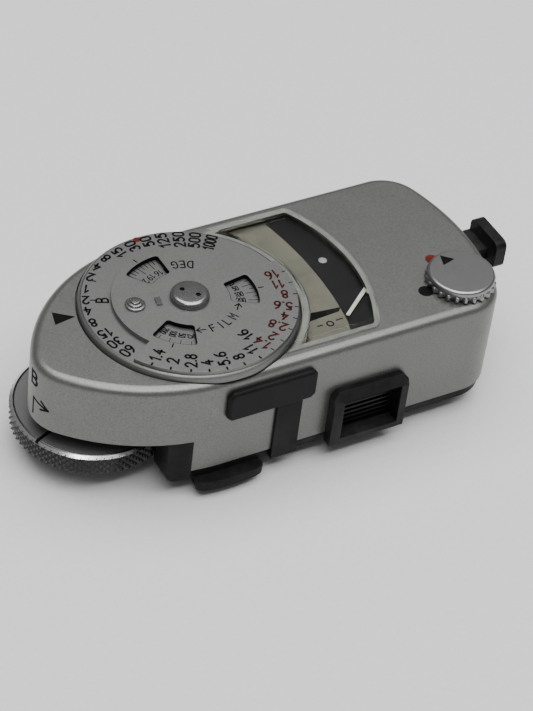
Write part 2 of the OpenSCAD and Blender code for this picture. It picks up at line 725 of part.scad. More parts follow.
module jewel_screw() color([0.6, 0.6, 0.62]) at_pivot() difference() {
    ring(1, 0, 20, 1.5);
    translate([0, 0, 19.9]) cylinder(r = 0.35, h = 0.6, $fn = 24);
    block([-1, -0.15, 21.2], [1, 0.15, 22]);
}

module magnet_core() color([0.35, 0.35, 0.37]) at_pivot() ring(core_r, 0, core_z[0], core_z[1] - core_z[0]);

module yoke_ring() color([0.45, 0.45, 0.47]) at_pivot() ring(8.2, gap_r, frame_z + 0.9, 5.6);

module core_strap() color([0.78, 0.65, 0.35]) at_pivot() intersection() {
    ring(gap_r, core_r, 15.4, 1.6);
    block([-9, -1, 0], [9, 1, 30]);
}

// A rectangular frame about the local X axis
module coil_frame(half_out, half_in, z_out, z_in, depth) {
    difference() {
        block([-half_out, -depth / 2, z_out[0]], [half_out, depth / 2, z_out[1]]);
        block([-half_in, -depth, z_in[0]], [half_in, depth, z_in[1]]);
    }
}

coil_turn = 180 + needle_rest - 90;

module coil_bobbin() color([0.8, 0.8, 0.82]) at_pivot() rotate(coil_turn)
    coil_frame(5.9, 5.4, [13.9, 18.7], [14.3, 18.3], 1.8);

module coil_winding() color([0.72, 0.4, 0.2]) at_pivot() rotate(coil_turn)
    coil_frame(6.4, 5.9, [13.5, 19.1], [13.9, 18.7], 1.4);

module coil_staffs() color([0.6, 0.6, 0.62]) at_pivot() {
    rotate_extrude() polygon([[0, 12.8], [0.2, 12.8], [0.2, 13.15], [0.4, 13.3], [0.4, 13.5], [0, 13.5]]);
    rotate_extrude() polygon([[0, 19.1], [0.5, 19.1], [0.5, 19.75], [0.2, 19.95], [0.2, 20.4], [0, 20.4]]);
}

module needle() color([0.92, 0.9, 0.85]) at_pivot() rotate(180 + needle_rest) {
    ring(1.1, 0.5, 19.3, 0.4);
    block([0.9, -0.3, 19.35], [6.6, 0.3, 19.6]);
    block([6.4, -0.3, 19.35], [6.6, 0.3, needle_z + needle_t]);
    translate([0, 0, needle_z]) linear_extrude(needle_t)
        polygon([[6.4, -0.35], [needle_l, -0.28], [needle_l, 0.28], [6.4, 0.35]]);
    block([-3.6, -0.25, 19.35], [-0.9, 0.25, 19.6]);
    translate([-3.8, 0, 0]) ring(0.6, 0, 19.3, 0.4, $fn = 32);
}

module hairspring() color([0.7, 0.6, 0.4]) at_pivot() {
    for (i = [0:3])
        ring(0.95 + i * 0.45, 0.85 + i * 0.45, 19.78, 0.14);
    block([0.45, -0.1, 19.78], [2.4, 0.1, 19.92]);
}

// ---- Circuit and battery ----
module calibration_board() color([0.5, 0.36, 0.2]) placed() difference() {
    union() {
        block([13.4, -8, 7.9], [26.6, 11.5, 8.7]);
        // Bracket behind the test button's spring
        block([24.5, 10.9, 7.9], [29, 12.1, 8.7]);
        block([25.2, 11.5, 8.6], [28.8, 12.1, 16]);
    }
    for (p = board_posts)
        translate([p[0], p[1], 0]) cylinder(r = 0.5, h = 30, $fn = 24);
}

module resistors() color([0.6, 0.2, 0.15]) placed() {
    for (i = [0:2])
        translate([16 + i * 3.6, -4.5, 9.8]) rotate([-90, 0, 0]) cylinder(r = 1.1, h = 6, $fn = 32);
    translate([22, 7, 8.7]) cylinder(r = 2.4, h = 2.2);
}

module battery() color([0.7, 0.71, 0.72]) at_pivot() {
    ring(battery_r, 0, battery_floor, 4.6);
    ring(6.4, 0, battery_floor + 4.6 - eps, 0.9);
}

module battery_cover() color([0.12, 0.12, 0.13]) at_pivot() difference() {
    union() {
        ring(8.85, 0, cap_z, 1.05);
        ring(battery_r + 0.15, battery_r - 1.2, cap_z + 1.05 - eps, 0.42);
    }
    block([-6, -0.7, cap_z - 1], [6, 0.7, cap_z + 0.6]);
}

module battery_contact() color([0.8, 0.68, 0.38]) at_pivot() {
    ring(4.6, 0, 10.75, 0.3);
    block([-7.9, -1, 10.75], [0, 1, 11.05]);
}

// ---- Battery test button on the back ----
module test_button() color([0.1, 0.1, 0.11]) placed() translate([button_x, 0, button_z]) rotate([-90, 0, 0])
    rotate_extrude() polygon([
        [0, 15.6], [2.8, 15.6], [2.8, 16.4], [button_r, 16.4], [button_r, 19.2], [1.7, 19.5], [0, 19.5]]);

module test_spring() color([0.6, 0.6, 0.62]) placed()
    for (i = [0:3])
        translate([button_x, 12.4 + i * 0.95, button_z]) rotate([-90, 0, 0]) rotate_extrude()
            translate([1.5, 0]) circle(0.18, $fn = 16);

top_cover();
base_plate();
front_plate();
thumb_lug();
shoe_foot();
foot_screws();
cover_screws();
cell_frame();
cell_louvre();
cell_glass();
photo_cell();
meter_window();
scale_plate();
reading_band();
gear_bridge();
bridge_pillars();
bridge_screws();
dial_bush();
dial_shaft();
dial_gear();
shutter_disc();
hub_cap();
aperture_disc();
film_speed_stud();
stop_key();
coupling_wheel();
wheel_shaft();
drive_pin();
shaft_clip();
wheel_spring();
pinion();
range_knob();
knob_shaft();
switch_wafer();
switch_rotor();
measuring_lever();
lever_spring();
movement_frame();
jewel_screw();
magnet_core();
core_strap();
yoke_ring();
coil_bobbin();
coil_winding();
coil_staffs();
needle();
hairspring();
calibration_board();
resistors();
battery();
battery_cover();
battery_contact();
test_button();
test_spring();
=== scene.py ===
"""Looks of the clip-on exposure meter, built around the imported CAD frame.

Meshes are modelled in millimetres in the part's own frame and scaled to metres when they
become pieces. Places come from the CAD nodes' boxes.
"""

import json
import math

import bmesh
import bpy
from mathutils import Matrix, Vector


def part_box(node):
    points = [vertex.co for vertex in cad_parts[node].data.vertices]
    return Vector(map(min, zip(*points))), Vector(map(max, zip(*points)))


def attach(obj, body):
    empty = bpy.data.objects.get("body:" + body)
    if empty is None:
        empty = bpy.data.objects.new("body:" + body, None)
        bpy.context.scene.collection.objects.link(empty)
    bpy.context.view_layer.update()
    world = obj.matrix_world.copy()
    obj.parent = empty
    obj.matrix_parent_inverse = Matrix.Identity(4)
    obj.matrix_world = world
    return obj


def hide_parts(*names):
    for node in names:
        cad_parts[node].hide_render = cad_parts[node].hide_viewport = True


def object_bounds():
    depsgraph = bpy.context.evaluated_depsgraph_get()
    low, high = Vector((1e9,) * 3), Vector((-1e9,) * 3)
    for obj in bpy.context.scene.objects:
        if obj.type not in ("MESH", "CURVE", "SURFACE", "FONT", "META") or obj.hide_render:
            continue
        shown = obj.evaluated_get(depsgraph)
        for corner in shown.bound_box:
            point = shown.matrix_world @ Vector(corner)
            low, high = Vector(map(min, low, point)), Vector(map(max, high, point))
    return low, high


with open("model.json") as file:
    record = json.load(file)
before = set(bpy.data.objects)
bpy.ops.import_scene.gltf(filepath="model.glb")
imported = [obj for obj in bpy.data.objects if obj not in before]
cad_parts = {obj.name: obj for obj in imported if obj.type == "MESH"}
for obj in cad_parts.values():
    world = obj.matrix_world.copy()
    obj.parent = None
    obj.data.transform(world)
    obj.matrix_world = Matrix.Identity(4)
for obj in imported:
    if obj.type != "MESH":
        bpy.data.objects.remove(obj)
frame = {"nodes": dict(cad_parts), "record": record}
cad_low, cad_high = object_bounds()

MM = 0.001


def mm_box(node):
    """The lowest and highest corner of a CAD node, in millimetres."""
    low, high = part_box(node)
    return low / MM, high / MM


def mid(node):
    """The middle of a CAD node's box, in millimetres."""
    low, high = mm_box(node)
    return (low + high) / 2


DIAL = mid("shutter_disc")
DIAL_LOW, DIAL_HIGH = mm_box("shutter_disc")
DISC_TOP = DIAL_HIGH.z
DIAL_R = (DIAL_HIGH.x - DIAL_LOW.x) / 2
WHEEL = mid("coupling_wheel")
WHEEL_LOW, WHEEL_HIGH = mm_box("coupling_wheel")
WHEEL_R = (WHEEL_HIGH.y - WHEEL_LOW.y) / 2
KNOB = mid("range_knob")
KNOB_LOW, KNOB_HIGH = mm_box("range_knob")
COVER_LOW, COVER_HIGH = mm_box("top_cover")
COVER_TOP = COVER_HIGH.z


def add_object(name, data):
    obj = bpy.data.objects.new(name, data)
    bpy.context.scene.collection.objects.link(obj)
    return obj


# ---- camera and stage

CAMERA_AZIMUTH = -33.594
CAMERA_ELEVATION = 41.722
CAMERA_ROLL = 7.575
CAMERA_LENS = 131.65
# The dial's centre seen from the camera: right, down and away, in millimetres
DIAL_FROM_CAMERA = (-12.354, -8.661, 415.84)


def add_camera():
    """Places the photograph's camera, as solved from the dial and the body's edges."""
    azimuth, elevation, roll = (
        math.radians(a) for a in (CAMERA_AZIMUTH, CAMERA_ELEVATION, CAMERA_ROLL)
    )
    back = Vector((
        math.sin(azimuth) * math.cos(elevation),
        -math.cos(azimuth) * math.cos(elevation),
        math.sin(elevation),
    ))
    level_right = (-back).cross(Vector((0, 0, 1))).normalized()
    level_up = level_right.cross(-back)
    right = math.cos(roll) * level_right + math.sin(roll) * level_up
    up = -math.sin(roll) * level_right + math.cos(roll) * level_up
    x, y, away = DIAL_FROM_CAMERA
    target = Vector((DIAL.x, DIAL.y, DISC_TOP))
    place = target - (right * x - up * y - back * away)
    data = bpy.data.cameras.new("camera")
    data.lens = CAMERA_LENS
    data.sensor_width = 36
    data.clip_start = 0.01
    data.clip_end = 20
    camera = add_object("camera", data)
    camera.matrix_world = Matrix((
        (right.x, up.x, back.x, place.x * MM),
        (right.y, up.y, back.y, place.y * MM),
        (right.z, up.z, back.z, place.z * MM),
        (0, 0, 0, 1),
    ))
    bpy.context.scene.camera = camera


add_camera()


def node_tree(name):
    """A new material's tree, its Principled shader and its object coordinates."""
    material = bpy.data.materials.new(name)
    material.use_nodes = True
    tree = material.node_tree
    shader = tree.nodes["Principled BSDF"]
    coords = tree.nodes.new("ShaderNodeTexCoord")
    return material, tree, shader, coords.outputs["Object"]


# Sizes of the noise that breaks up each kind of surface, in millimetres
METAL_CLOUD = 6
METAL_SMUDGE = 1.6
PAINT_CLOUD = 3.5
WINDOW_HAZE = 2.5
PAPER_FIBRE = 0.9
# How much of a metal's tone comes from its grain; the rest comes from the clouds
GRAIN_SHARE = 0.85
# How far the direction bends the rings of a turned surface
RING_DRIFT = 0.02


def new_node(tree, kind, inputs, **settings):
    """A shader node. Its inputs, by name or place, get a value or a link to a socket."""
    node = tree.nodes.new("ShaderNode" + kind)
    for name, value in settings.items():
        setattr(node, name, value)
    for name, value in inputs.items():
        if isinstance(value, bpy.types.NodeSocket):
            tree.links.new(value, node.inputs[name])
        else:
            node.inputs[name].default_value = value
    return node


def noise_node(tree, vector, size_mm, detail, roughness=0.55):
    return new_node(tree, "TexNoise", {
        "Vector": vector, "Scale": 1 / (size_mm * MM), "Detail": detail, "Roughness": roughness,
    }).outputs["Fac"]


def map_range(tree, value, low, high, from_low=0.3, from_high=0.7):
    """Most noise stays between 0.3 and 0.7, which is what gets spread out by default."""
    return new_node(tree, "MapRange", {
        "Value": value, "From Min": from_low, "From Max": from_high,
        "To Min": low, "To Max": high,
    }).outputs["Result"]


def mix_colour(tree, factor, first, second):
    """first and second are colours or sockets; factor is a socket."""
    first, second = (
        c if isinstance(c, bpy.types.NodeSocket) else (*c, 1) for c in (first, second)
    )
    inputs = {"Factor": factor, "A": first, "B": second}
    return new_node(tree, "Mix", inputs, data_type="RGBA").outputs["Result"]


def combine(tree, operation, first, second):
    inputs = {0: first, 1: second}
    return new_node(tree, "Math", inputs, operation=operation, use_clamp=True).outputs["Value"]


def bump(tree, shader, height, distance_mm):
    node = new_node(tree, "Bump", {"Height": height, "Strength": 1, "Distance": distance_mm * MM})
    tree.links.new(node.outputs["Normal"], shader.inputs["Normal"])


def stretched(tree, coords, scale):
    return new_node(tree, "Mapping", {"Vector": coords, "Scale": scale}).outputs["Vector"]


def polar(tree, coords, centre):
    """Coordinates of radius and height about a vertical axis, for turned surfaces."""
    def maths(operation, first, second):
        return new_node(tree, "VectorMath", {0: first, 1: second}, operation=operation).outputs

    place = maths("SUBTRACT", coords, (centre.x * MM, centre.y * MM, 0))["Vector"]
    flat = maths("MULTIPLY", place, (1, 1, 0))["Vector"]
    radius = maths("LENGTH", flat, (0, 0, 0))["Value"]
    height = new_node(tree, "SeparateXYZ", {"Vector": place}).outputs["Z"]
    rings = new_node(tree, "CombineXYZ", {"X": radius, "Z": height}).outputs["Vector"]
    # A slow change with direction keeps the rings from being perfect circles
    drift = maths("MULTIPLY", place, (RING_DRIFT,) * 3)["Vector"]
    return maths("ADD", rings, drift)["Vector"]


def worn_edges(tree, low, high):
    """1 on raised edges and 0 on flat surfaces. low and high are bounds of the pointiness."""
    geometry = tree.nodes.new("ShaderNodeNewGeometry")
    return map_range(tree, geometry.outputs["Pointiness"], 0, 1, low, high)


def metal(name, colour, roughness, grain_mm, grain_depth, turned=None,
          brushed=None, spread=0.12, dirt=0.25, bare=1.0):
    """Bare or anodised metal. turned is the axis of a lathe-turned grain, brushed a stretch.

    bare is below 1 where the surface is blasted so fine that it scatters light.
    """
    material, tree, shader, coords = node_tree(name)
    shader.inputs["Metallic"].default_value = bare
    if turned is not None:
        place = polar(tree, coords, turned)
    elif brushed is not None:
        place = stretched(tree, coords, brushed)
    else:
        place = coords
    grain = noise_node(tree, place, grain_mm, 4)
    cloud = noise_node(tree, coords, METAL_CLOUD, 3)
    smudge = noise_node(tree, coords, METAL_SMUDGE, 5, 0.7)
    fine = combine(tree, "MULTIPLY", grain, GRAIN_SHARE)
    broad = combine(tree, "MULTIPLY", cloud, 1 - GRAIN_SHARE)
    tone = map_range(tree, combine(tree, "ADD", fine, broad), 0, 1)
    dark = tuple(c * (1 - spread) for c in colour)
    light = tuple(min(1, c * (1 + spread)) for c in colour)
    tree.links.new(mix_colour(tree, tone, dark, light), shader.inputs["Base Color"])
    rough = map_range(tree, smudge, roughness * (1 - dirt), roughness * (1 + dirt))
    tree.links.new(rough, shader.inputs["Roughness"])
    bump(tree, shader, grain, grain_depth)
    return material


def painted(name, colour, roughness, grain_mm, grain_depth, worn=None, coat=0.0, gloss=0.5):
    """Paint, lacquer or moulded plastic with a fine texture and rubbed edges."""
    material, tree, shader, coords = node_tree(name)
    shader.inputs["Specular IOR Level"].default_value = gloss
    grain = noise_node(tree, coords, grain_mm, 4)
    cloud = noise_node(tree, coords, PAINT_CLOUD, 4, 0.65)
    dark = tuple(c * 0.8 for c in colour)
    light = tuple(min(1, c * 1.25 + 0.001) for c in colour)
    base = mix_colour(tree, map_range(tree, cloud, 0, 1), dark, light)
    if worn is not None:
        patches = map_range(tree, cloud, 0.1, 1)
        edge = combine(tree, "MULTIPLY", worn_edges(tree, 0.52, 0.6), patches)
        base = mix_colour(tree, edge, base, worn)
    tree.links.new(base, shader.inputs["Base Color"])
    rough = map_range(tree, cloud, roughness * 0.8, min(1, roughness * 1.2))
    tree.links.new(rough, shader.inputs["Roughness"])
    shader.inputs["Coat Weight"].default_value = coat
    bump(tree, shader, grain, grain_depth)
    return material


def clear(name, colour, roughness, refraction):
    material, tree, shader, coords = node_tree(name)
    shader.inputs["Base Color"].default_value = (*colour, 1)
    shader.inputs["Transmission Weight"].default_value = 1.0
    shader.inputs["IOR"].default_value = refraction
    haze = noise_node(tree, coords, WINDOW_HAZE, 5, 0.7)
    rough = map_range(tree, haze, roughness * 0.3, roughness)
    tree.links.new(rough, shader.inputs["Roughness"])
    return material


FLOOR_HALF = 3.0
PAPER_TONES = ((0.68, 0.69, 0.68), (0.72, 0.725, 0.72))
WORLD_COLOUR = (0.82, 0.83, 0.82, 1)
WORLD_STRENGTH = 0.32
# Name, place, size and power of each area light, in metres and watts
LIGHTS = (
    ("overhead", (0, 0, 1.0), (1.2, 1.2), 18),
    ("front_strip", (-0.02, -0.44, 0.79), (1.1, 0.1), 2.5),
)
LIGHT_TARGET = Vector((0, 0, 0.01))


def add_floor():
    data = bpy.data.meshes.new("floor")
    corners = ((-1, -1), (1, -1), (1, 1), (-1, 1))
    rim = [(x * FLOOR_HALF, y * FLOOR_HALF, cad_low.z) for x, y in corners]
    data.from_pydata(rim, [], [(0, 1, 2, 3)])
    material, tree, shader, coords = node_tree("floor_paper")
    fibre = noise_node(tree, coords, PAPER_FIBRE, 4)
    tone = mix_colour(tree, map_range(tree, fibre, 0, 1), *PAPER_TONES)
    tree.links.new(tone, shader.inputs["Base Color"])
    shader.inputs["Roughness"].default_value = 0.85
    shader.inputs["Specular IOR Level"].default_value = 0.2
    bump(tree, shader, fibre, 0.03)
    data.materials.append(material)
    floor = add_object("floor", data)


def add_light(name, place, size, power):
    data = bpy.data.lights.new(name, "AREA")
    data.shape = "RECTANGLE"
    data.size, data.size_y = size
    data.energy = power
    light = add_object(name, data)
    light.location = place
    aim = LIGHT_TARGET - Vector(place)
    light.rotation_mode = "QUATERNION"
    light.rotation_quaternion = aim.to_track_quat("-Z", "Y")


def add_world():
    world = bpy.data.worlds.new("studio")
    world.use_nodes = True
    background = world.node_tree.nodes["Background"]
    background.inputs["Color"].default_value = WORLD_COLOUR
    background.inputs["Strength"].default_value = WORLD_STRENGTH
    bpy.context.scene.world = world


add_floor()
add_world()
for light in LIGHTS:
    add_light(*light)


# ---- mesh tools, in millimetres


def new_object(name, points, faces):
    data = bpy.data.meshes.new(name)
    data.from_pydata([tuple(p) for p in points], [], faces)
    data.validate()
    return add_object(name, data)


def loft(name, rings, looped=False):
    """A solid through rings that all have the same number of points.

    A looped loft joins the last ring to the first instead of closing both ends.
    """
    count = len(rings[0])
    points = [p for ring in rings for p in ring]
    faces = []
    for layer in range(len(rings) if looped else len(rings) - 1):
        a, b = layer * count, (layer + 1) % len(rings) * count
        for i in range(count):
            j = (i + 1) % count
            faces.append((a + i, a + j, b + j, b + i))
    if not looped:
        faces.append(tuple(reversed(range(count))))
        faces.append(tuple(range((len(rings) - 1) * count, len(rings) * count)))
    return new_object(name, points, faces)


def prism(name, outline, low, high):
    return loft(name, [[(x, y, z) for x, y in outline] for z in (low, high)])


def revolve(name, profile, centre, steps=160):
    """Turns a closed profile of (radius, z) about a vertical axis through centre."""
    points, rows = [], []
    for radius, z in profile:
        if radius == 0:
            rows.append([len(points)] * steps)
            points.append((centre[0], centre[1], z))
            continue
        rows.append(list(range(len(points), len(points) + steps)))
        for i in range(steps):
            a = 2 * math.pi * i / steps
            x, y = centre[0] + radius * math.cos(a), centre[1] + radius * math.sin(a)
            points.append((x, y, z))
    faces = []
    pairs = list(zip(rows, rows[1:]))
    if profile[0][0] > 0:
        pairs.append((rows[-1], rows[0]))
    for lower, upper in pairs:
        for i in range(steps):
            j = (i + 1) % steps
            corners = []
            for c in (lower[i], lower[j], upper[j], upper[i]):
                if c not in corners:
                    corners.append(c)
            if len(corners) > 2:
                faces.append(tuple(corners))
    obj = new_object(name, points, faces)
    outward(obj)
    return obj


def drum(radius, low, high, centre, steps):
    return revolve("drum", [(0, low), (radius, low), (radius, high), (0, high)], centre, steps)


def outward(obj):
    shape = bmesh.new()
    shape.from_mesh(obj.data)
    bmesh.ops.recalc_face_normals(shape, faces=shape.faces)
    shape.to_mesh(obj.data)
    shape.free()


def box(name, low, high):
    corners = [(low[0], low[1]), (high[0], low[1]), (high[0], high[1]), (low[0], high[1])]
    return prism(name, corners, low[2], high[2])


def settle(obj):
    """Replaces the mesh with the result of its modifiers."""
    graph = bpy.context.evaluated_depsgraph_get()
    data = bpy.data.meshes.new_from_object(obj.evaluated_get(graph))
    obj.modifiers.clear()
    obj.data = data
    return obj


def cut(obj, *tools):
    """Takes each tool out of the object and removes the tools."""
    for tool in tools:
        modifier = obj.modifiers.new("cut", "BOOLEAN")
        modifier.object = tool
        modifier.operation = "DIFFERENCE"
        modifier.solver = "EXACT"
    settle(obj)
    for tool in tools:
        bpy.data.objects.remove(tool)
    return obj


def bevel(obj, width, segments, angle=40):
    modifier = obj.modifiers.new("bevel", "BEVEL")
    modifier.width = width
    modifier.segments = segments
    modifier.limit_method = "ANGLE"
    modifier.angle_limit = math.radians(angle)
    modifier.harden_normals = False
    return settle(obj)


def joined(name, objects):
    shape = bmesh.new()
    for obj in objects:
        shape.from_mesh(obj.data)
        bpy.data.objects.remove(obj)
    data = bpy.data.meshes.new(name)
    shape.to_mesh(data)
    shape.free()
    return add_object(name, data)


# Corners closer than this are one, in millimetres
WELD = 1e-5
CAD_WELD = 0.003


def piece(obj, name, body, material, replaces=(), smooth=32):
    """Scales a finished mesh to metres and gives it its body and material.

    Edges that turn by less than smooth degrees are shaded smooth.
    """
    shape = bmesh.new()
    shape.from_mesh(obj.data)
    bmesh.ops.remove_doubles(shape, verts=shape.verts, dist=WELD)
    bmesh.ops.dissolve_degenerate(shape, edges=shape.edges, dist=WELD)
    bmesh.ops.scale(shape, vec=(MM, MM, MM), verts=shape.verts)
    for face in shape.faces:
        face.smooth = True
    for edge in shape.edges:
        faces = edge.link_faces
        edge.smooth = (
            len(faces) == 2
            and faces[0].normal.angle(faces[1].normal, 0) < math.radians(smooth)
        )
    shape.to_mesh(obj.data)
    shape.free()
    obj.name = name
    obj.data.name = name
    obj.data.materials.clear()
    obj.data.materials.append(material)
    level = obj.modifiers.new("level_normals", "WEIGHTED_NORMAL")
    level.keep_sharp = True
    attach(obj, body)
    if replaces:
        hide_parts(*replaces)
    return obj


SLOTS = {part["node"]: part["material_slot"] for part in frame["record"]["subparts"]}
BODIES = {
    node: body
    for body, nodes in frame["record"]["behaviour"]["bodies"].items() for node in nodes
}


def part(obj, name, node, smooth=32):
    """A finished mesh that stands for a CAD node, with that node's body and the material of its
    slot.
    """
    return piece(obj, name, BODIES[node], MATERIALS[SLOTS[node]], [node], smooth)


def finished(node, width):
    """A welded copy of a CAD node with its edges broken, which stands for the node."""
    data = frame["nodes"][node].data
    points = [v.co / MM for v in data.vertices]
    obj = new_object(node, points, [tuple(f.vertices) for f in data.polygons])
    shape = bmesh.new()
    shape.from_mesh(obj.data)
    bmesh.ops.remove_doubles(shape, verts=shape.verts, dist=CAD_WELD)
    bmesh.ops.dissolve_limit(
        shape, angle_limit=math.radians(1), verts=shape.verts, edges=shape.edges,
    )
    shape.to_mesh(obj.data)
    shape.free()
    outward(obj)
    bevel(obj, width, 2, 30)
    return part(obj, node + "_finished", node)


# ---- materials

BLACK = (0.005, 0.005, 0.0055)

MATERIALS = {
    "satin_aluminium": metal(
        "satin_chrome", (0.17, 0.172, 0.166), 0.38, 0.3, 0.006, spread=0.2, dirt=0.05, bare=0.85,
    ),
    "dial_aluminium": metal(
        "matt_anodised", (0.18, 0.182, 0.178), 0.42, 0.25, 0.004, spread=0.14, dirt=0.05,
        bare=0.85,
    ),
    "bright_metal": metal(
        "polished_metal", (0.26, 0.26, 0.26), 0.24, 0.3, 0.001, spread=0.05, dirt=0.1,
    ),
    "wheel_metal": metal(
        "turned_wheel", (0.085, 0.085, 0.085), 0.28, 0.05, 0.002, turned=WHEEL,
        spread=0.12, dirt=0.1, bare=0.9,
    ),
    "knob_metal": metal(
        "turned_knob", (0.27, 0.27, 0.27), 0.3, 0.05, 0.002, turned=KNOB, spread=0.08, dirt=0.05,
    ),
    "steel": metal("turned_steel", (0.48, 0.48, 0.50), 0.28, 0.1, 0.003, spread=0.15),
    "dark_steel": metal("blackened_steel", (0.10, 0.10, 0.11), 0.35, 0.15, 0.004, spread=0.2),
    "battery_steel": metal("battery_steel", (0.62, 0.62, 0.63), 0.22, 0.2, 0.002, spread=0.08),
    "brass": metal("brass_plain", (0.68, 0.50, 0.22), 0.3, 0.12, 0.003, spread=0.15),
    "copper": metal(
        "copper_wire", (0.62, 0.26, 0.11), 0.35, 0.08, 0.02, brushed=(0.1, 0.1, 3), spread=0.2,
    ),
    "coil_alloy": metal("coil_alloy", (0.66, 0.66, 0.67), 0.3, 0.1, 0.002),
    "black_casting": painted("black_casting", BLACK, 0.42, 0.25, 0.012, (0.03,) * 3, gloss=0.1),
    "black_plastic": painted("black_moulding", BLACK, 0.36, 0.12, 0.004, (0.025,) * 3, gloss=0.13),
    "louvre_black": painted("louvre_black", (0.003,) * 3, 0.35, 0.15, 0.004, gloss=0.2),
    "needle_white": painted("needle_white", (0.6, 0.59, 0.54), 0.5, 0.1, 0.002),
    "pale_scale": painted("pale_scale", (0.13, 0.124, 0.10), 0.4, 0.3, 0.002),
    "band_black": painted("band_black", (0.010, 0.010, 0.011), 0.6, 0.1, 0.002, gloss=0.1),
    "board": painted("laminate_board", (0.24, 0.12, 0.05), 0.45, 0.3, 0.01),
    "component": painted("lacquered_part", (0.32, 0.07, 0.04), 0.25, 0.3, 0.004, coat=0.6),
    "clear_window": clear("clear_window", (0.97, 0.98, 0.95), 0.05, 1.18),
}
INK = painted("black_ink", (0.004, 0.004, 0.0045), 0.6, 0.05, 0.001, gloss=0.05)
# Pale grey seen through the window's bevel: a painted reflection
BEZEL_PAINTED_SHEEN = painted("bezel_painted_sheen", (0.185, 0.188, 0.178), 0.4, 0.3, 0.004)
RED_INK = painted("red_ink", (0.04, 0.009, 0.008), 0.6, 0.05, 0.001, gloss=0.05)
RED_ENAMEL = painted("red_enamel", (0.09, 0.008, 0.006), 0.4, 0.1, 0.001, gloss=0.15)
WHITE_DOT = painted("white_dot", (0.33, 0.34, 0.34), 0.4, 0.1, 0.002)
CHAMFER = metal("bright_chamfer", (0.6, 0.6, 0.6), 0.2, 0.3, 0.001, spread=0.05, dirt=0.15)
WHEEL_FACE = metal(
    "wheel_face", (0.13, 0.13, 0.13), 0.55, 0.05, 0.002, turned=WHEEL,
    spread=0.1, dirt=0.1, bare=0.35,
)


# ---- the body's outline

HALF_W = (COVER_HIGH.y - COVER_LOW.y) / 2
RIGHT = COVER_HIGH.x - DIAL.x
BOW_R = 42.8
CORNER_R = 7.2
FRONT_R = 33.7
BACK_R = 30.2
NOSE_R = 7.1
EDGE_R = 1.6
WALL = 1.2
NOTCH_X = -7.2
NOTCH_Z = 11.9
COVER_Z = COVER_LOW.z
FRONT = Vector((-1.8, FRONT_R - HALF_W))
BACK = Vector((-0.1, HALF_W - BACK_R))


def nose_centre():
    """The centre of the circle that touches both flanks from inside."""
    span = FRONT - BACK
    back_reach, front_reach = BACK_R - NOSE_R, FRONT_R - NOSE_R
    along = (back_reach**2 - front_reach**2 + span.length**2) / (2 * span.length)
    aside = math.sqrt(back_reach**2 - along**2)
    toward = span.normalized()
    return BACK + along * toward + aside * Vector((-toward.y, toward.x))


NOSE = nose_centre()


def arc(centre, radius, start, end, step):
    """Points from one angle to another in degrees, about step apart."""
    count = max(1, math.ceil(abs(end - start) / step))
    angles = [math.radians(start + (end - start) * i / count) for i in range(count + 1)]
    return [(centre[0] + radius * math.cos(a), centre[1] + radius * math.sin(a)) for a in angles]


def body_outline(inset, step=1.6):
    """The body seen from above, as tangent arcs drawn inwards by inset."""
    bow_x = RIGHT - BOW_R
    corner_y = HALF_W - CORNER_R
    corner_x = bow_x + math.sqrt((BOW_R - CORNER_R) ** 2 - corner_y**2)
    bow_end = math.degrees(math.atan2(corner_y, corner_x - bow_x))
    back_end = math.degrees(math.atan2(*(NOSE - BACK).yx))
    front_end = 360 + math.degrees(math.atan2(*(NOSE - FRONT).yx))
    points = arc((bow_x, 0), BOW_R - inset, -bow_end, bow_end, step)
    points += arc((corner_x, corner_y), CORNER_R - inset, bow_end, 90, step * 3)[1:]
    points += arc(BACK, BACK_R - inset, 90, back_end, step)
    points += arc(NOSE, NOSE_R - inset, back_end, front_end, step * 3)[1:]
    points += arc(FRONT, FRONT_R - inset, front_end, 270, step)[1:]
    points += arc((corner_x, -corner_y), CORNER_R - inset, 270, 360 - bow_end, step * 3)[:-1]
    return [(x + DIAL.x, y) for x, y in points]


def ring_at(inset, z):
    return [(x, y, z) for x, y in body_outline(inset)]


def upright(outline, centre, low, high):
    """A prism along Y whose outline is drawn in X and Z."""
    return loft("tool", [
        [(centre[0] + x, y, centre[1] + z) for x, z in outline] for y in (high, low)
    ])


def round_hole(spot, radius, low, high, step=10):
    """A cylinder to cut with. step is the angle between its sides."""
    return prism("hole", arc(spot, radius, 0, 360 - step, step), low, high)


def window_outline(outer, inner, half, corner):
    """An arc about the dial's axis between two straight edges. The point count is constant."""
    swing = math.degrees(math.asin((half - corner) / (outer - corner)))
    reach = math.degrees(math.asin(half / inner))
    x, y = (outer - corner) * math.cos(math.radians(swing)), half - corner
    points = arc((0, 0), outer, -swing, swing, swing / 24)
    points += arc((x, y), corner, swing, 90, (90 - swing) / 8)[1:]
    points += arc((0, 0), inner, reach, -reach, reach / 24)
    points += arc((x, -y), corner, -90, -swing, (90 - swing) / 8)[:-1]
    return [(px + DIAL.x, py) for px, py in points]


# ---- cover

WINDOW_LOW, WINDOW_HIGH = mm_box("meter_window")
WINDOW_R = WINDOW_HIGH.x - DIAL.x
WINDOW_HALF = WINDOW_HIGH.y
WELL_R = DIAL_R + 0.2
WELL_WALL_R = DIAL_R + 1.4
WELL_FLOOR = COVER_TOP - 0.9
CELL_LOW, CELL_HIGH = mm_box("cell_louvre")
BUTTON = mid("test_button")
EDGE_STEPS = 9
LOWER_BEVEL = 0.12
WELL_LIP = 0.05
SHAFT_HOLE_R = 5.5
WINDOW_LEDGE = 1
CELL_GAP = 0.75
LEVER_GAP = 0.1
LEVER_ARM_Y = (-1.6, 4.1)
LEVER_ARM_Z = (16.9, 19.2)
BUTTON_HOLE_R = 2.05
KNOB_HOLE_R = 1.53


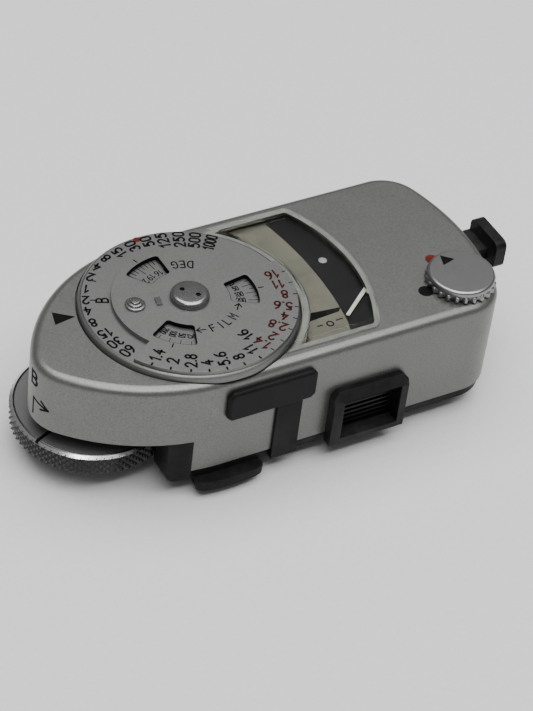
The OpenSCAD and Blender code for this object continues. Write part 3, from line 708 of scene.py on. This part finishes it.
def cover_shell():
    """The hollow cover with its well, window, notch, light cell, lever, button and knob holes."""
    rings = [ring_at(LOWER_BEVEL, COVER_Z), ring_at(0, COVER_Z + LOWER_BEVEL)]
    for i in range(EDGE_STEPS + 1):
        a = math.radians(90 * i / EDGE_STEPS)
        inset, drop = EDGE_R * (1 - math.cos(a)), EDGE_R * (1 - math.sin(a))
        rings.append(ring_at(inset, COVER_TOP - drop))
    shell = loft("cover", rings)
    hollow = loft("hollow", [
        ring_at(WALL, COVER_Z - 1),
        ring_at(WALL, COVER_TOP - 1.6),
        ring_at(WALL + 0.6, COVER_TOP - 1),
    ])
    cut(hollow, drum(WELL_WALL_R, WELL_FLOOR - 1.2, COVER_TOP + 1, DIAL, 160))
    well = revolve("well", [
        (0, WELL_FLOOR - 2), (SHAFT_HOLE_R, WELL_FLOOR - 2), (SHAFT_HOLE_R, WELL_FLOOR),
        (WELL_R, WELL_FLOOR), (WELL_R, COVER_TOP - WELL_LIP),
        (WELL_R + WELL_LIP * 3, COVER_TOP + WELL_LIP * 2), (0, COVER_TOP + WELL_LIP * 2),
    ], DIAL, steps=256)
    opening = prism(
        "opening",
        window_outline(WINDOW_R - WINDOW_LEDGE, WELL_WALL_R + 0.1, WINDOW_HALF - WINDOW_LEDGE, 1),
        COVER_TOP - 1.6, COVER_TOP + 1,
    )
    notch = box("notch", (COVER_LOW.x - 5, -30, 0), (DIAL.x + NOTCH_X, 30, NOTCH_Z))
    bevel(notch, 0.25, 3)
    cell = box("cell", (CELL_LOW.x - CELL_GAP, -HALF_W - 1, 0),
               (CELL_HIGH.x + CELL_GAP, -HALF_W + 2, CELL_HIGH.z + CELL_GAP))
    slot = box("slot", (COVER_HIGH.x - 4, LEVER_ARM_Y[0] - LEVER_GAP, LEVER_ARM_Z[0] - LEVER_GAP),
               (COVER_HIGH.x + 1, LEVER_ARM_Y[1] + LEVER_GAP, LEVER_ARM_Z[1] + LEVER_GAP))
    button = upright(
        arc((0, 0), BUTTON_HOLE_R, 0, 352.5, 7.5), (BUTTON.x, BUTTON.z), HALF_W - 3, HALF_W + 2,
    )
    shaft = drum(KNOB_HOLE_R, COVER_TOP - 4, COVER_TOP + 2, KNOB, 48)
    return cut(shell, hollow, well, opening, notch, cell, slot, button, shaft)


part(cover_shell(), "cover_shell", "top_cover")


# ---- trim and fittings kept from the CAD

for node, obj in frame["nodes"].items():
    obj.material_slots[0].material = MATERIALS[SLOTS[node]]

# Each node with the width of its broken edges
for node, width in (
    ("base_plate", 0.2), ("front_plate", 0.12), ("thumb_lug", 0.2), ("cell_frame", 0.12),
    ("cell_louvre", 0.05), ("measuring_lever", 0.25), ("shoe_foot", 0.2), ("foot_screws", 0.08),
    ("cover_screws", 0.08), ("battery_cover", 0.15), ("test_button", 0.2), ("stop_key", 0.1),
):
    finished(node, width)


# ---- dial


def at(radius, angle, centre=DIAL):
    """The point at an angle in degrees and a distance from centre."""
    a = math.radians(angle)
    return centre[0] + radius * math.cos(a), centre[1] + radius * math.sin(a)


def sector(inner, outer, half, corner):
    """A ring sector about the origin with rounded corners, symmetric about +X."""
    inner_mid, outer_mid = inner + corner, outer - corner
    inner_lean = half - math.degrees(math.asin(corner / inner_mid))
    outer_lean = half - math.degrees(math.asin(corner / outer_mid))
    points = arc((0, 0), outer, -outer_lean, outer_lean, 2)[1:-1]
    points += arc(at(outer_mid, outer_lean, (0, 0)), corner, outer_lean, half + 90, 15)
    points += arc(at(inner_mid, inner_lean, (0, 0)), corner, half + 90, inner_lean + 180, 15)
    points += arc((0, 0), inner, inner_lean, -inner_lean, 3)[1:-1]
    points += arc(at(inner_mid, -inner_lean, (0, 0)), corner, 180 - inner_lean, 270 - half, 15)
    points += arc(at(outer_mid, -outer_lean, (0, 0)), corner, 270 - half, 360 - outer_lean, 15)
    return points


APERTURE_LOW, APERTURE_HIGH = mm_box("aperture_disc")
APERTURE_TOP = APERTURE_HIGH.z
APERTURE_R = DIAL_R - 0.45
CUTBACK_R = 12.6
SECTOR_FROM, SECTOR_TO = -147, 10
# The middle of each film-speed window, its inner and outer radius, half angle and corner
SPEED_WINDOWS = (110, -10, -130)
SPEED_WINDOW = (6.6, 11.3, 19.2, 0.55)
STUD_ANGLE = 170
STUD_SPOT = at(9.1, STUD_ANGLE)
KEY_REACH = 5.2
KEY_SPOT = at(KEY_REACH, STUD_ANGLE)
KEY_SWING = 42
HUB_R = 2.6
HOLE_DEEP = 0.6
HOLE_REACH = 1.4
HOLE_ANGLES = (-50, 130)


def moved(outline, angle, spot):
    """An outline turned about the origin and then moved to spot."""
    c, s = math.cos(math.radians(angle)), math.sin(math.radians(angle))
    return [(spot[0] + x * c - y * s, spot[1] + x * s + y * c) for x, y in outline]


def shutter_disc():
    """The lower disc: an upright rim, a shallow polished cone, a fine groove and a flat face."""
    rim = DIAL_R
    disc = revolve("disc", [
        (0, DIAL_LOW.z), (rim - 0.3, DIAL_LOW.z), (rim, DIAL_LOW.z + 0.3), (rim, COVER_TOP + 0.05),
        (rim - 0.16, DISC_TOP - 0.32), (rim - 0.2, DISC_TOP - 0.26), (rim - 0.52, DISC_TOP - 0.04),
        (rim - 0.58, DISC_TOP - 0.14), (rim - 0.64, DISC_TOP - 0.02), (rim - 0.68, DISC_TOP),
        (0, DISC_TOP),
    ], DIAL, 240)
    start, end = STUD_ANGLE - KEY_SWING, STUD_ANGLE + KEY_SWING
    groove = arc((0, 0), KEY_REACH - 0.6, start, end, 4)
    groove += arc((0, 0), KEY_REACH + 0.6, end, start, 4)
    return cut(disc, prism("groove", moved(groove, 0, DIAL), DISC_TOP - 0.7, DISC_TOP + 1))


def aperture_disc():
    """The upper disc, cut back over the shutter figures, with three film-speed windows."""
    outline = arc((0, 0), APERTURE_R, SECTOR_FROM, SECTOR_TO, 1.5)
    outline += arc((0, 0), CUTBACK_R, SECTOR_TO, SECTOR_FROM + 360, 1.5)
    disc = prism("disc", moved(outline, 0, DIAL), APERTURE_LOW.z, APERTURE_TOP)
    low, high = APERTURE_LOW.z - 1, APERTURE_TOP + 1
    tools = [
        prism("opening", moved(sector(*SPEED_WINDOW), angle, DIAL), low, high)
        for angle in SPEED_WINDOWS
    ]
    for radius, spot in ((2.64, DIAL), (0.5, KEY_SPOT), (0.9, STUD_SPOT)):
        tools.append(round_hole(spot, radius, low, high))
    return bevel(cut(disc, *tools), 0.09, 2, 35)


def window_edges():
    """A thin black ring on the walls of each film-speed window."""
    walls = []
    low, high = APERTURE_LOW.z + 0.02, APERTURE_TOP - 0.03
    for angle in SPEED_WINDOWS:
        wall = prism("wall", moved(sector(*SPEED_WINDOW), angle, DIAL), low, high)
        gap = moved(sector(6.66, 11.24, 18.8, 0.5), angle, DIAL)
        walls.append(cut(wall, prism("gap", gap, low - 1, high + 1)))
    return joined("walls", walls)


def hub_cap():
    low, high = mm_box("hub_cap")
    radius = high.x - DIAL.x
    dome = 0.75
    crown = arc((radius - dome, high.z - dome), dome, 90, 0, 9)
    cap = revolve("cap", [
        (0, high.z), *crown, (radius, APERTURE_TOP + 0.1), (radius - 0.04, APERTURE_TOP + 0.06),
        (HUB_R, APERTURE_TOP + 0.06), (HUB_R, low.z), (0, low.z),
    ], DIAL, 96)
    return cut(cap, *(
        round_hole(at(HOLE_REACH, angle), 0.42, high.z - HOLE_DEEP, high.z + 1, 15)
        for angle in HOLE_ANGLES
    ))


def film_speed_stud():
    low, high = mm_box("film_speed_stud")
    base, step, shoulder = high.z - 1.15, high.z - 0.75, high.z - 0.4
    return revolve("stud", [
        (0, low.z), (0.85, low.z), (0.85, base), (1.58, base), (1.65, base + 0.07),
        (1.65, step - 0.12), (1.57, step - 0.03), (1.4, step), (1.25, step + 0.02),
        (1.25, shoulder - 0.1), (1.17, shoulder - 0.02), (0.95, shoulder),
        (0.85, shoulder + 0.03), (0.85, high.z - 0.12), (0.75, high.z - 0.02), (0.6, high.z),
        (0, high.z),
    ], STUD_SPOT, 64)


part(shutter_disc(), "shutter_disc_finished", "shutter_disc")
part(aperture_disc(), "aperture_disc_finished", "aperture_disc")
piece(window_edges(), "film_window_edges", "aperture", INK)
part(hub_cap(), "hub_cap_finished", "hub_cap")
part(film_speed_stud(), "film_speed_stud_finished", "film_speed_stud")


# ---- printing

# How far print stands above its surface and reaches into it
PRINT = 0.02
SUNK = 0.01
# The pen's width as a share of a figure's height, and the gap between two figures
STROKE = 0.2
GLYPH_GAP = 0.26

# Each glyph is a list of pen strokes in a cell one unit high; a closed stroke ends at its start
GLYPHS = {
    "0": [[*arc((0.27, 0.73), 0.27, 0, 180, 20), *arc((0.27, 0.27), 0.27, 180, 360, 20),
           (0.54, 0.73)]],
    "1": [[(0.02, 0.72), (0.27, 1), (0.27, 0)]],
    "2": [[*arc((0.27, 0.73), 0.27, 170, -30, 20), (0.3, 0.32), (0.02, 0), (0.56, 0)]],
    "3": [[*arc((0.25, 0.77), 0.23, 150, -90, 20), *arc((0.25, 0.27), 0.27, 90, -150, 20)]],
    "4": [[(0.36, 1), (0.02, 0.34), (0.58, 0.34)], [(0.4, 0.6), (0.4, 0)]],
    "5": [[(0.5, 1), (0.1, 1), (0.06, 0.58), *arc((0.25, 0.31), 0.3, 110, -140, 20)]],
    "6": [[(0.44, 0.99), (0.2, 0.82), (0.05, 0.52), (0.01, 0.27)],
          arc((0.28, 0.27), 0.27, 0, 360, 20)],
    "7": [[(0.02, 1), (0.54, 1), (0.2, 0)]],
    "8": [arc((0.27, 0.77), 0.22, 0, 360, 20), arc((0.27, 0.27), 0.27, 0, 360, 20)],
    "9": [[(0.1, 0.01), (0.34, 0.18), (0.49, 0.48), (0.53, 0.73)],
          arc((0.26, 0.73), 0.27, 0, 360, 20)],
    ".": [[(0.03, 0.05), (0.08, 0.05)]],
    "B": [[(0, 0.53), (0, 1), *arc((0.27, 0.765), 0.235, 90, -90, 20), (0, 0.53)],
          [(0, 0.53), *arc((0.29, 0.265), 0.265, 90, -90, 20), (0, 0), (0, 0.53)]],
    "D": [[(0, 0), (0, 1), *arc((0.2, 0.62), 0.38, 90, 0, 20),
           *arc((0.2, 0.38), 0.38, 0, -90, 20), (0, 0)]],
    "E": [[(0.52, 1), (0, 1), (0, 0), (0.52, 0)], [(0, 0.53), (0.44, 0.53)]],
    "F": [[(0.52, 1), (0, 1), (0, 0)], [(0, 0.53), (0.42, 0.53)]],
    "G": [[*arc((0.3, 0.7), 0.3, 30, 180, 20), *arc((0.3, 0.3), 0.3, 180, 360, 20),
           (0.6, 0.46), (0.36, 0.46)]],
    "I": [[(0.1, 0), (0.1, 1)]],
    "L": [[(0, 1), (0, 0), (0.5, 0)]],
    "M": [[(0, 0), (0, 1), (0.32, 0.42), (0.64, 1), (0.64, 0)]],
}
ADVANCE = {"1": 0.4, ".": 0.1, "I": 0.2, "M": 0.64}
PLAIN_ADVANCE = 0.56


def pen(path, width, low, high):
    """A stroke of constant width with round ends, as a closed strip."""
    points = [Vector(p) for p in path]
    looped = (points[0] - points[-1]).length < 1e-4
    if looped:
        points.pop()
    count = len(points)
    left, right = [], []
    for i, point in enumerate(points):
        before = points[i - 1] if looped or i else point
        after = points[(i + 1) % count] if looped or i < count - 1 else point
        came = (point - before).normalized() if before != point else (after - point).normalized()
        goes = (after - point).normalized() if after != point else came
        mean = (came + goes).normalized() if (came + goes).length > 0.2 else came
        side = Vector((-mean.y, mean.x)) * min(width, width / 2 / max(0.5, mean.dot(came)))
        left.append(point + side)
        right.append(point - side)
    if looped:
        obj = loft("stroke", [
            [(*p, z) for p in line]
            for line, z in ((left, low), (right, low), (right, high), (left, high))
        ], looped=True)
    else:
        ends = []
        for tip, inner in ((points[-1], points[-2]), (points[0], points[1])):
            way = math.degrees(math.atan2(*(tip - inner).yx))
            ends.append(arc(tip, width / 2, way + 90, way - 90, 30))
        outline = [*left[:-1], *ends[0], *reversed(right[:-1])]
        outline = [*outline[1:-1], *ends[1]] if count > 2 else [*ends[0], *ends[1]]
        obj = prism("stroke", outline, low, high)
    outward(obj)
    return obj


def figure(text, height, spot, angle, top, narrow, weight=STROKE):
    """A word or number drawn with a round pen, centred on spot."""
    offsets, reach = [], 0.0
    for glyph in text:
        offsets.append(reach)
        reach += ADVANCE.get(glyph, PLAIN_ADVANCE) + GLYPH_GAP
    reach -= GLYPH_GAP
    strokes = []
    for glyph, offset in zip(text, offsets):
        for path in GLYPHS[glyph]:
            shifted = [
                ((x + offset - reach / 2) * height * narrow, (y - 0.5) * height) for x, y in path
            ]
            line = moved(shifted, angle, spot)
            strokes.append(pen(line, weight * height, top - SUNK, top + PRINT))
    return joined("figure", strokes)


def mark(outline, top):
    return prism("mark", outline, top - SUNK, top + PRINT)


def bar(start, end, width, top):
    """A straight printed line between two points."""
    return pen([start, end], width, top - SUNK, top + PRINT)


def spoke(angle, inner, outer, width, top):
    """A printed line that points at the dial's centre."""
    return bar(at(inner, angle), at(outer, angle), width, top)


def dot(spot, radius, top):
    return mark(arc(spot, radius, 0, 350, 10), top)


def printed(name, body, material, marks):
    return piece(joined(name, marks), name, body, material)


# Each figure with its angle on the dial
SHUTTER_FIGURES = (
    ("60", 205.5), ("30", 196), ("15", 186.5), ("8", 176), ("4", 166), ("2", 157), ("1", 147.5),
    ("2", 137), ("4", 127.5), ("8", 118), ("15", 108.5), ("30", 98.5), ("50", 88.5), ("125", 79),
    ("250", 69), ("500", 59.5), ("1000", 50),
)
# How far out a shutter figure stands, by its number of digits
FIGURE_REACH = {1: 0.92, 2: 0.885, 3: 0.86, 4: 0.86}
FIGURE_SIZE = 1.75
FILM_SPEEDS = ("6", "12", "25", "50", "100", "200", "400", "800")
SPEED_RIM = SPEED_WINDOW[1]


def shutter_print():
    marks = []
    for text, angle in SHUTTER_FIGURES:
        spot = at(FIGURE_REACH[len(text)] * DIAL_R, angle)
        narrow = 0.72 if len(text) == 4 else 0.95
        marks.append(figure(text, FIGURE_SIZE, spot, angle, DISC_TOP, narrow))
    marks.append(figure("B", 1.9, at(0.775 * DIAL_R, 157), 67, DISC_TOP, 0.9, 0.17))
    marks.append(spoke(157, 0.83 * DIAL_R, 0.88 * DIAL_R, 0.22, DISC_TOP))
    marks.append(spoke(139.6, 0.86 * DIAL_R, 0.89 * DIAL_R, 0.22, DISC_TOP))
    # Two rows of film speeds, seen through windows of the upper disc
    for first in (30, -95):
        for i, text in enumerate(FILM_SPEEDS):
            angle = first - 10 * i
            marks.append(figure(text, 1.05, at(8.4, angle), angle, DISC_TOP, 0.62, 0.16))
            marks.append(spoke(angle, 9.6, SPEED_RIM, 0.1, DISC_TOP))
            marks.append(spoke(angle + 5, 10.5, SPEED_RIM, 0.1, DISC_TOP))
    # A row in degrees, seen through the third, with a figure at every third line
    for i in range(25):
        angle = 60 + 4 * i
        numbered = i % 3 == 1
        marks.append(spoke(angle, 9.3 if numbered else 10.2, SPEED_RIM, 0.12, DISC_TOP))
        if numbered:
            spot = at(8.2, angle)
            marks.append(figure(str(6 + i), 1.15, spot, angle + 90, DISC_TOP, 0.85, 0.14))
    return marks


def arrow(angle, reach, top, side):
    """A short arrow that points along the dial's rim."""
    tip = at(reach, angle + side * 5.5)
    marks = [bar(at(reach, angle - side * 5.5), tip, 0.2, top)]
    for spread in (-0.55, 0.55):
        marks.append(bar(at(reach + spread, angle + side * 0.5), tip, 0.2, top))
    return marks


BLACK_STOPS = (
    ("1.4", -137), ("2", -127), ("2.8", -116.5), ("4", -107), ("5.6", -97.5), ("8", -87.5),
    ("11", -77.5),
)
RED_STOPS = (
    ("2", -59), ("2.8", -48.5), ("4", -39), ("5.6", -29.5), ("8", -19), ("11", -9.5), ("16", 0),
)


def stop_figures(stops):
    marks = []
    for text, angle in stops:
        spot = at((0.86 if len(text) == 1 else 0.835) * DIAL_R, angle)
        marks.append(figure(text, FIGURE_SIZE, spot, angle + 180, APERTURE_TOP, 0.92))
    return marks


def aperture_print():
    marks = stop_figures(BLACK_STOPS)
    marks.append(figure("16", FIGURE_SIZE, at(0.67 * DIAL_R, -70), 110, APERTURE_TOP, 0.92))
    for _, angle in BLACK_STOPS:
        marks.append(spoke(angle, 0.95 * DIAL_R, 0.972 * DIAL_R, 0.32, APERTURE_TOP))
    for angle in (-68, *(angle for _, angle in RED_STOPS)):
        marks.append(spoke(angle, 0.94 * DIAL_R, 0.972 * DIAL_R, 0.18, APERTURE_TOP))
    for angle in SPEED_WINDOWS:
        marks.append(spoke(angle, 0.645 * DIAL_R, 0.69 * DIAL_R, 0.2, APERTURE_TOP))
    for letters, size, reach in (
        ((("D", 62), ("E", 71.5), ("G", 80)), 1.6, 0.455),
        ((("F", -89.5), ("I", -79), ("L", -69), ("M", -57)), 1.5, 0.44),
    ):
        for text, angle in letters:
            spot = at(reach * DIAL_R, angle)
            marks.append(figure(text, size, spot, angle + 90, APERTURE_TOP, 0.9, 0.15))
    marks += arrow(-38.5, 0.44 * DIAL_R, APERTURE_TOP, 1)
    marks += arrow(-104, 0.44 * DIAL_R, APERTURE_TOP, -1)
    return marks


# Black discs set down inside the hub cap's spanner holes: painted shade at the bottom of the holes
hole_floor = mm_box("hub_cap")[1].z - HOLE_DEEP + 0.35
printed("spanner_hole_shade", BODIES["hub_cap"], INK, [
    dot(at(HOLE_REACH, angle), 0.4, hole_floor) for angle in HOLE_ANGLES
])
printed("shutter_figures", "dial", INK, shutter_print())
printed("shutter_red_dot", "dial", RED_ENAMEL, [
    dot(at(0.945 * DIAL_R, 93.3), 0.6, DISC_TOP),
])
printed("aperture_figures", "aperture", INK, aperture_print())
printed("aperture_red_figures", "aperture", RED_INK, [
    *stop_figures(RED_STOPS),
    figure("1.4", FIGURE_SIZE, at(0.84 * DIAL_R, -68), 112, APERTURE_TOP, 0.92),
])


# ---- coupling wheel

KNURL_AROUND = 66
KNURL_DEPTH = 0.4
KNURL_ROWS = 5
FACE_INNER_R = 9.0
PIN_REACH = 6.8
INDEX_ANGLE = -157
INDEX_HALF = 0.28
WHEEL_TOP = WHEEL_HIGH.z


def knurled_wheel():
    """A lathe-turned wheel whose rim carries a grid of four-sided points."""
    low, top, rim = WHEEL_LOW.z, WHEEL_TOP, WHEEL_R
    steps = KNURL_AROUND * 2
    lower = [(0, low + 1.4), (9.6, low + 1.4), (9.6, low), (rim - 0.6, low)]
    rows = [low + 0.35 + (top - low - 0.75) * k / KNURL_ROWS for k in range(KNURL_ROWS + 1)]
    upper = [
        (rim - 0.5, top - 0.02), (rim - 0.58, top - 0.02), (rim - 0.66, top - 0.12),
        (rim - 0.8, top - 0.02), (rim - 0.86, top), (8.8, top), (8.4, top - 0.5),
        (4.4, top - 0.5), (4.4, top - 1.4), (0, top - 1.4),
    ]
    profile = lower + [(rim, z) for z in rows] + upper
    first, last = len(lower), len(lower) + len(rows) - 1
    points, ids = [], []
    for k, (radius, z) in enumerate(profile):
        if radius == 0:
            ids.append([len(points)] * steps)
            points.append((WHEEL.x, WHEEL.y, z))
            continue
        ids.append(list(range(len(points), len(points) + steps)))
        for i in range(steps):
            valley = first <= k <= last and (i + k) % 2
            depth = KNURL_DEPTH * valley
            points.append((*at(radius - depth, 180 * i / KNURL_AROUND, WHEEL), z))
    faces = []
    for k in range(len(profile) - 1):
        for i in range(steps):
            j = (i + 1) % steps
            a, b, c, d = ids[k][i], ids[k][j], ids[k + 1][j], ids[k + 1][i]
            if a == b:
                faces.append((a, c, d))
            elif c == d:
                faces.append((a, b, c))
            elif first <= k < last:
                # Split each cell along its valley
                rising = (i + k) % 2 == 0
                faces += [(a, b, d), (b, c, d)] if rising else [(a, b, c), (a, c, d)]
            else:
                faces.append((a, b, c, d))
    wheel = new_object("wheel", points, faces)
    outward(wheel)
    shaft = round_hole(WHEEL, 1.5, low, top + 1)
    pin = round_hole((WHEEL.x + PIN_REACH, WHEEL.y), 0.7, low, top + 1, 15)
    return cut(wheel, shaft, pin)


def wheel_index():
    """The black line across the wheel's top and its polished chamfer."""
    cross = []
    along = Vector(at(1, INDEX_ANGLE, (0, 0)))
    side = Vector((-along.y, along.x)) * INDEX_HALF
    corners = ((1, -0.12), (-1, -0.12), (-1, 0.03), (1, 0.03))
    for radius, drop in ((9.1, 0), (WHEEL_R - 0.5, 0), (WHEEL_R - 0.1, 0.3)):
        spot = Vector((WHEEL.x, WHEEL.y)) + along * radius
        cross.append([(*(spot + side * s), WHEEL_TOP - drop + dz) for s, dz in corners])
    obj = loft("index", cross)
    outward(obj)
    return obj


def wheel_face():
    """The blasted ring on top of the wheel, inside its polished chamfer."""
    outer = WHEEL_R - 0.9
    return revolve("face", [
        (FACE_INNER_R, WHEEL_TOP - 0.1), (outer, WHEEL_TOP - 0.1),
        (outer, WHEEL_TOP + 0.01), (FACE_INNER_R, WHEEL_TOP + 0.01),
    ], WHEEL, 180)


def wheel_chamfer():
    """The polished chamfer between the wheel's top and its knurl."""
    rim = WHEEL_R
    return revolve("chamfer", [
        (rim - 0.62, WHEEL_TOP - 0.3), (rim - 0.12, WHEEL_TOP - 0.46),
        (rim - 0.02, WHEEL_TOP - 0.4), (rim - 0.5, WHEEL_TOP), (rim - 0.58, WHEEL_TOP),
    ], WHEEL, 180)


part(knurled_wheel(), "knurled_wheel", "coupling_wheel", smooth=24)
piece(wheel_chamfer(), "wheel_chamfer", BODIES["coupling_wheel"], CHAMFER)
piece(wheel_face(), "wheel_face", BODIES["coupling_wheel"], WHEEL_FACE)
piece(wheel_index(), "wheel_index", BODIES["coupling_wheel"], INK)


# ---- range knob

KNOB_LOBES = 24
KNOB_R = (KNOB_HIGH.x - KNOB_LOW.x) / 2
FLANGE_TOP = KNOB_LOW.z + 1.05
CAP_R = 5.65
CAP_ROUND = 0.5
NOTCH_DEPTH = 0.62
# Over 1 makes the notches narrower than a cosine
NOTCH_SHAPE = 1.4
POINTER_ANGLE = 105


def lobed(radius):
    """A scalloped circle: round-bottomed notches between narrow lobes."""
    points = []
    per_lobe = 10
    for i in range(KNOB_LOBES * per_lobe):
        phase = (i % per_lobe) / per_lobe
        dip = 0.5 + 0.5 * math.cos(2 * math.pi * phase)
        angle = 360 * i / (KNOB_LOBES * per_lobe)
        points.append(at(radius - NOTCH_DEPTH * dip**NOTCH_SHAPE, angle, KNOB))
    return points


def range_knob():
    low = KNOB_LOW.z
    rings = []
    for inset, z in (
        (0.12, low), (0, low + 0.1), (0, FLANGE_TOP - 0.25), (0.08, FLANGE_TOP - 0.08),
        (0.2, FLANGE_TOP),
    ):
        rings.append([(x, y, z) for x, y in lobed(KNOB_R - inset)])
    count = len(rings[0])
    cap = [
        (CAP_R - 0.45, FLANGE_TOP + 0.01), (CAP_R - 0.05, FLANGE_TOP + 0.06),
        (CAP_R, FLANGE_TOP + 0.12),
    ]
    cap += arc((CAP_R - CAP_ROUND, KNOB_HIGH.z - CAP_ROUND), CAP_ROUND, 0, 90, 11.25)
    for radius, z in cap:
        rings.append([(*at(radius, 360 * k / count, KNOB), z) for k in range(count)])
    knob = loft("knob", rings)
    return cut(knob, round_hole(KNOB, 1.5, low - 1, low + 1.35, 15))


def triangle(tip, base, width):
    way = (Vector(tip) - Vector(base)).normalized()
    side = Vector((-way.y, way.x)) * width / 2
    return [tuple(Vector(base) - side), tip, tuple(Vector(base) + side)]


part(range_knob(), "range_knob_finished", "range_knob")
printed("knob_pointer", "knob", INK, [mark(
    triangle(at(5.0, POINTER_ANGLE, KNOB), at(2.9, POINTER_ANGLE, KNOB), 2.6), KNOB_HIGH.z,
)])


# ---- marks on the cover


def by_dial(x, y):
    """A place given from the dial's centre."""
    return DIAL.x + x, DIAL.y + y


printed("cover_marks", "body", INK, [
    mark(triangle(at(18.5, 165.7), at(22.0, 165.7), 3.0), COVER_TOP),
    dot(by_dial(37.9, -11.3), 1.25, COVER_TOP),
])
printed("cover_red_dot", "body", RED_ENAMEL, [
    dot(by_dial(43.1, -4.7), 1.15, COVER_TOP),
])


RUN_STEPS = 8


def run(start, end):
    """A line as short steps, so that a stroke can follow the curved wall."""
    points = [
        tuple(Vector(start).lerp(Vector(end), i / RUN_STEPS)) for i in range(RUN_STEPS + 1)
    ]
    return zip(points, points[1:])


NOSE_WALL = [(x, y) for x, y in body_outline(0, 0.5) if x < DIAL.x - 15]


def on_nose(stroke):
    """Lays strokes drawn flat onto the nose's upright wall. Their X runs towards -Y."""
    for vertex in stroke.data.vertices:
        u, v, rise = vertex.co
        wall = next(
            x0 + (x1 - x0) * (-u - y0) / (y1 - y0)
            for (x0, y0), (x1, y1) in zip(NOSE_WALL, NOSE_WALL[1:]) if y1 <= -u <= y0
        )
        vertex.co = (wall - rise, -u, v)
    outward(stroke)
    return stroke


# A stem, a line to the arrow's tip, and the two sides of its head
NOSE_ARROW = (
    ((3.05, 13.2), (3.05, 16.5)), ((3.05, 16.5), (6.3, 15.8)),
    ((5.0, 17.0), (6.35, 15.8)), ((4.9, 15.2), (6.35, 15.8)),
)
printed("nose_marks", "body", INK, [on_nose(stroke) for stroke in (
    figure("B", 2.5, (3.0, 20.4), 0, 0, 1.15, 0.2),
    *(bar(*ends, 0.36, 0) for line in NOSE_ARROW for ends in run(*line)),
)])


# ---- meter window


WINDOW_CORNER = 1.9
PLUG_INSET = 1.08


def window_inset(inset, inner):
    return window_outline(WINDOW_R - inset, inner, WINDOW_HALF - inset, WINDOW_CORNER - inset)


def window_body():
    """A bevelled block on a flange, with a plug that fills the cover's opening."""
    inner = DIAL_R + 0.32
    plug = window_outline(
        WINDOW_R - PLUG_INSET, WELL_WALL_R + 0.16, WINDOW_HALF - PLUG_INSET, 1.0,
    )
    rings = [[(x, y, z) for x, y in plug] for z in (WINDOW_LOW.z, COVER_TOP + 0.02)]
    # Inset of the outer edges, inset towards the dial, and height above the cover
    steps = ((0, 0, 0.02), (0, 0, 0.3), (0.12, 0.05, 0.45), (0.85, 0.35, 1.12), (1.05, 0.45, 1.2))
    for inset, inner_inset, rise in steps:
        outline = window_inset(inset, inner + inner_inset)
        rings.append([(x, y, COVER_TOP + rise) for x, y in outline])
    return loft("window", rings)


def bezel():
    """The rim that the window is bedded on; its pale grey, seen through the window's bevel, is a
    painted reflection for the bevel's grey sheen.
    """
    outer, inner = (
        prism("rim", window_inset(inset, DIAL_R + reach), low, high)
        for inset, reach, low, high in (
            (0.22, 0.45, COVER_TOP - 0.02, COVER_TOP + 0.015),
            (PLUG_INSET, 1.3, COVER_TOP - 1, COVER_TOP + 1),
        )
    )
    return cut(outer, inner)


part(window_body(), "window_finished", "meter_window", smooth=20)
piece(bezel(), "window_bezel", "body", BEZEL_PAINTED_SHEEN)

BAND_TOP = mm_box("reading_band")[1].z
PLATE_TOP = mm_box("scale_plate")[1].z
printed("band_dot", "body", WHITE_DOT, [dot(by_dial(26.7, 3.1), 0.7, BAND_TOP)])
# The dark wedge is painted shade on the pale scale plate beside the dial; the two bars and the
# circle are print
SHADE_WEDGE = ((23.7, -8.2), (22.9, -9.0), (15.9, -9.5), (17.9, -7.6))
CIRCLE_R = 0.55
LINE = 0.25
printed("scale_print_and_shade", "body", INK, [
    mark([by_dial(*corner) for corner in SHADE_WEDGE], PLATE_TOP),
    bar(by_dial(17.9, -10.9), by_dial(18.7, -10.95), LINE, PLATE_TOP),
    bar(by_dial(21.45, -10.75), by_dial(22.6, -10.7), LINE, PLATE_TOP),
    pen(arc(by_dial(20.1, -11.1), CIRCLE_R, 0, 360, 30), LINE, PLATE_TOP - SUNK, PLATE_TOP + PRINT),
])
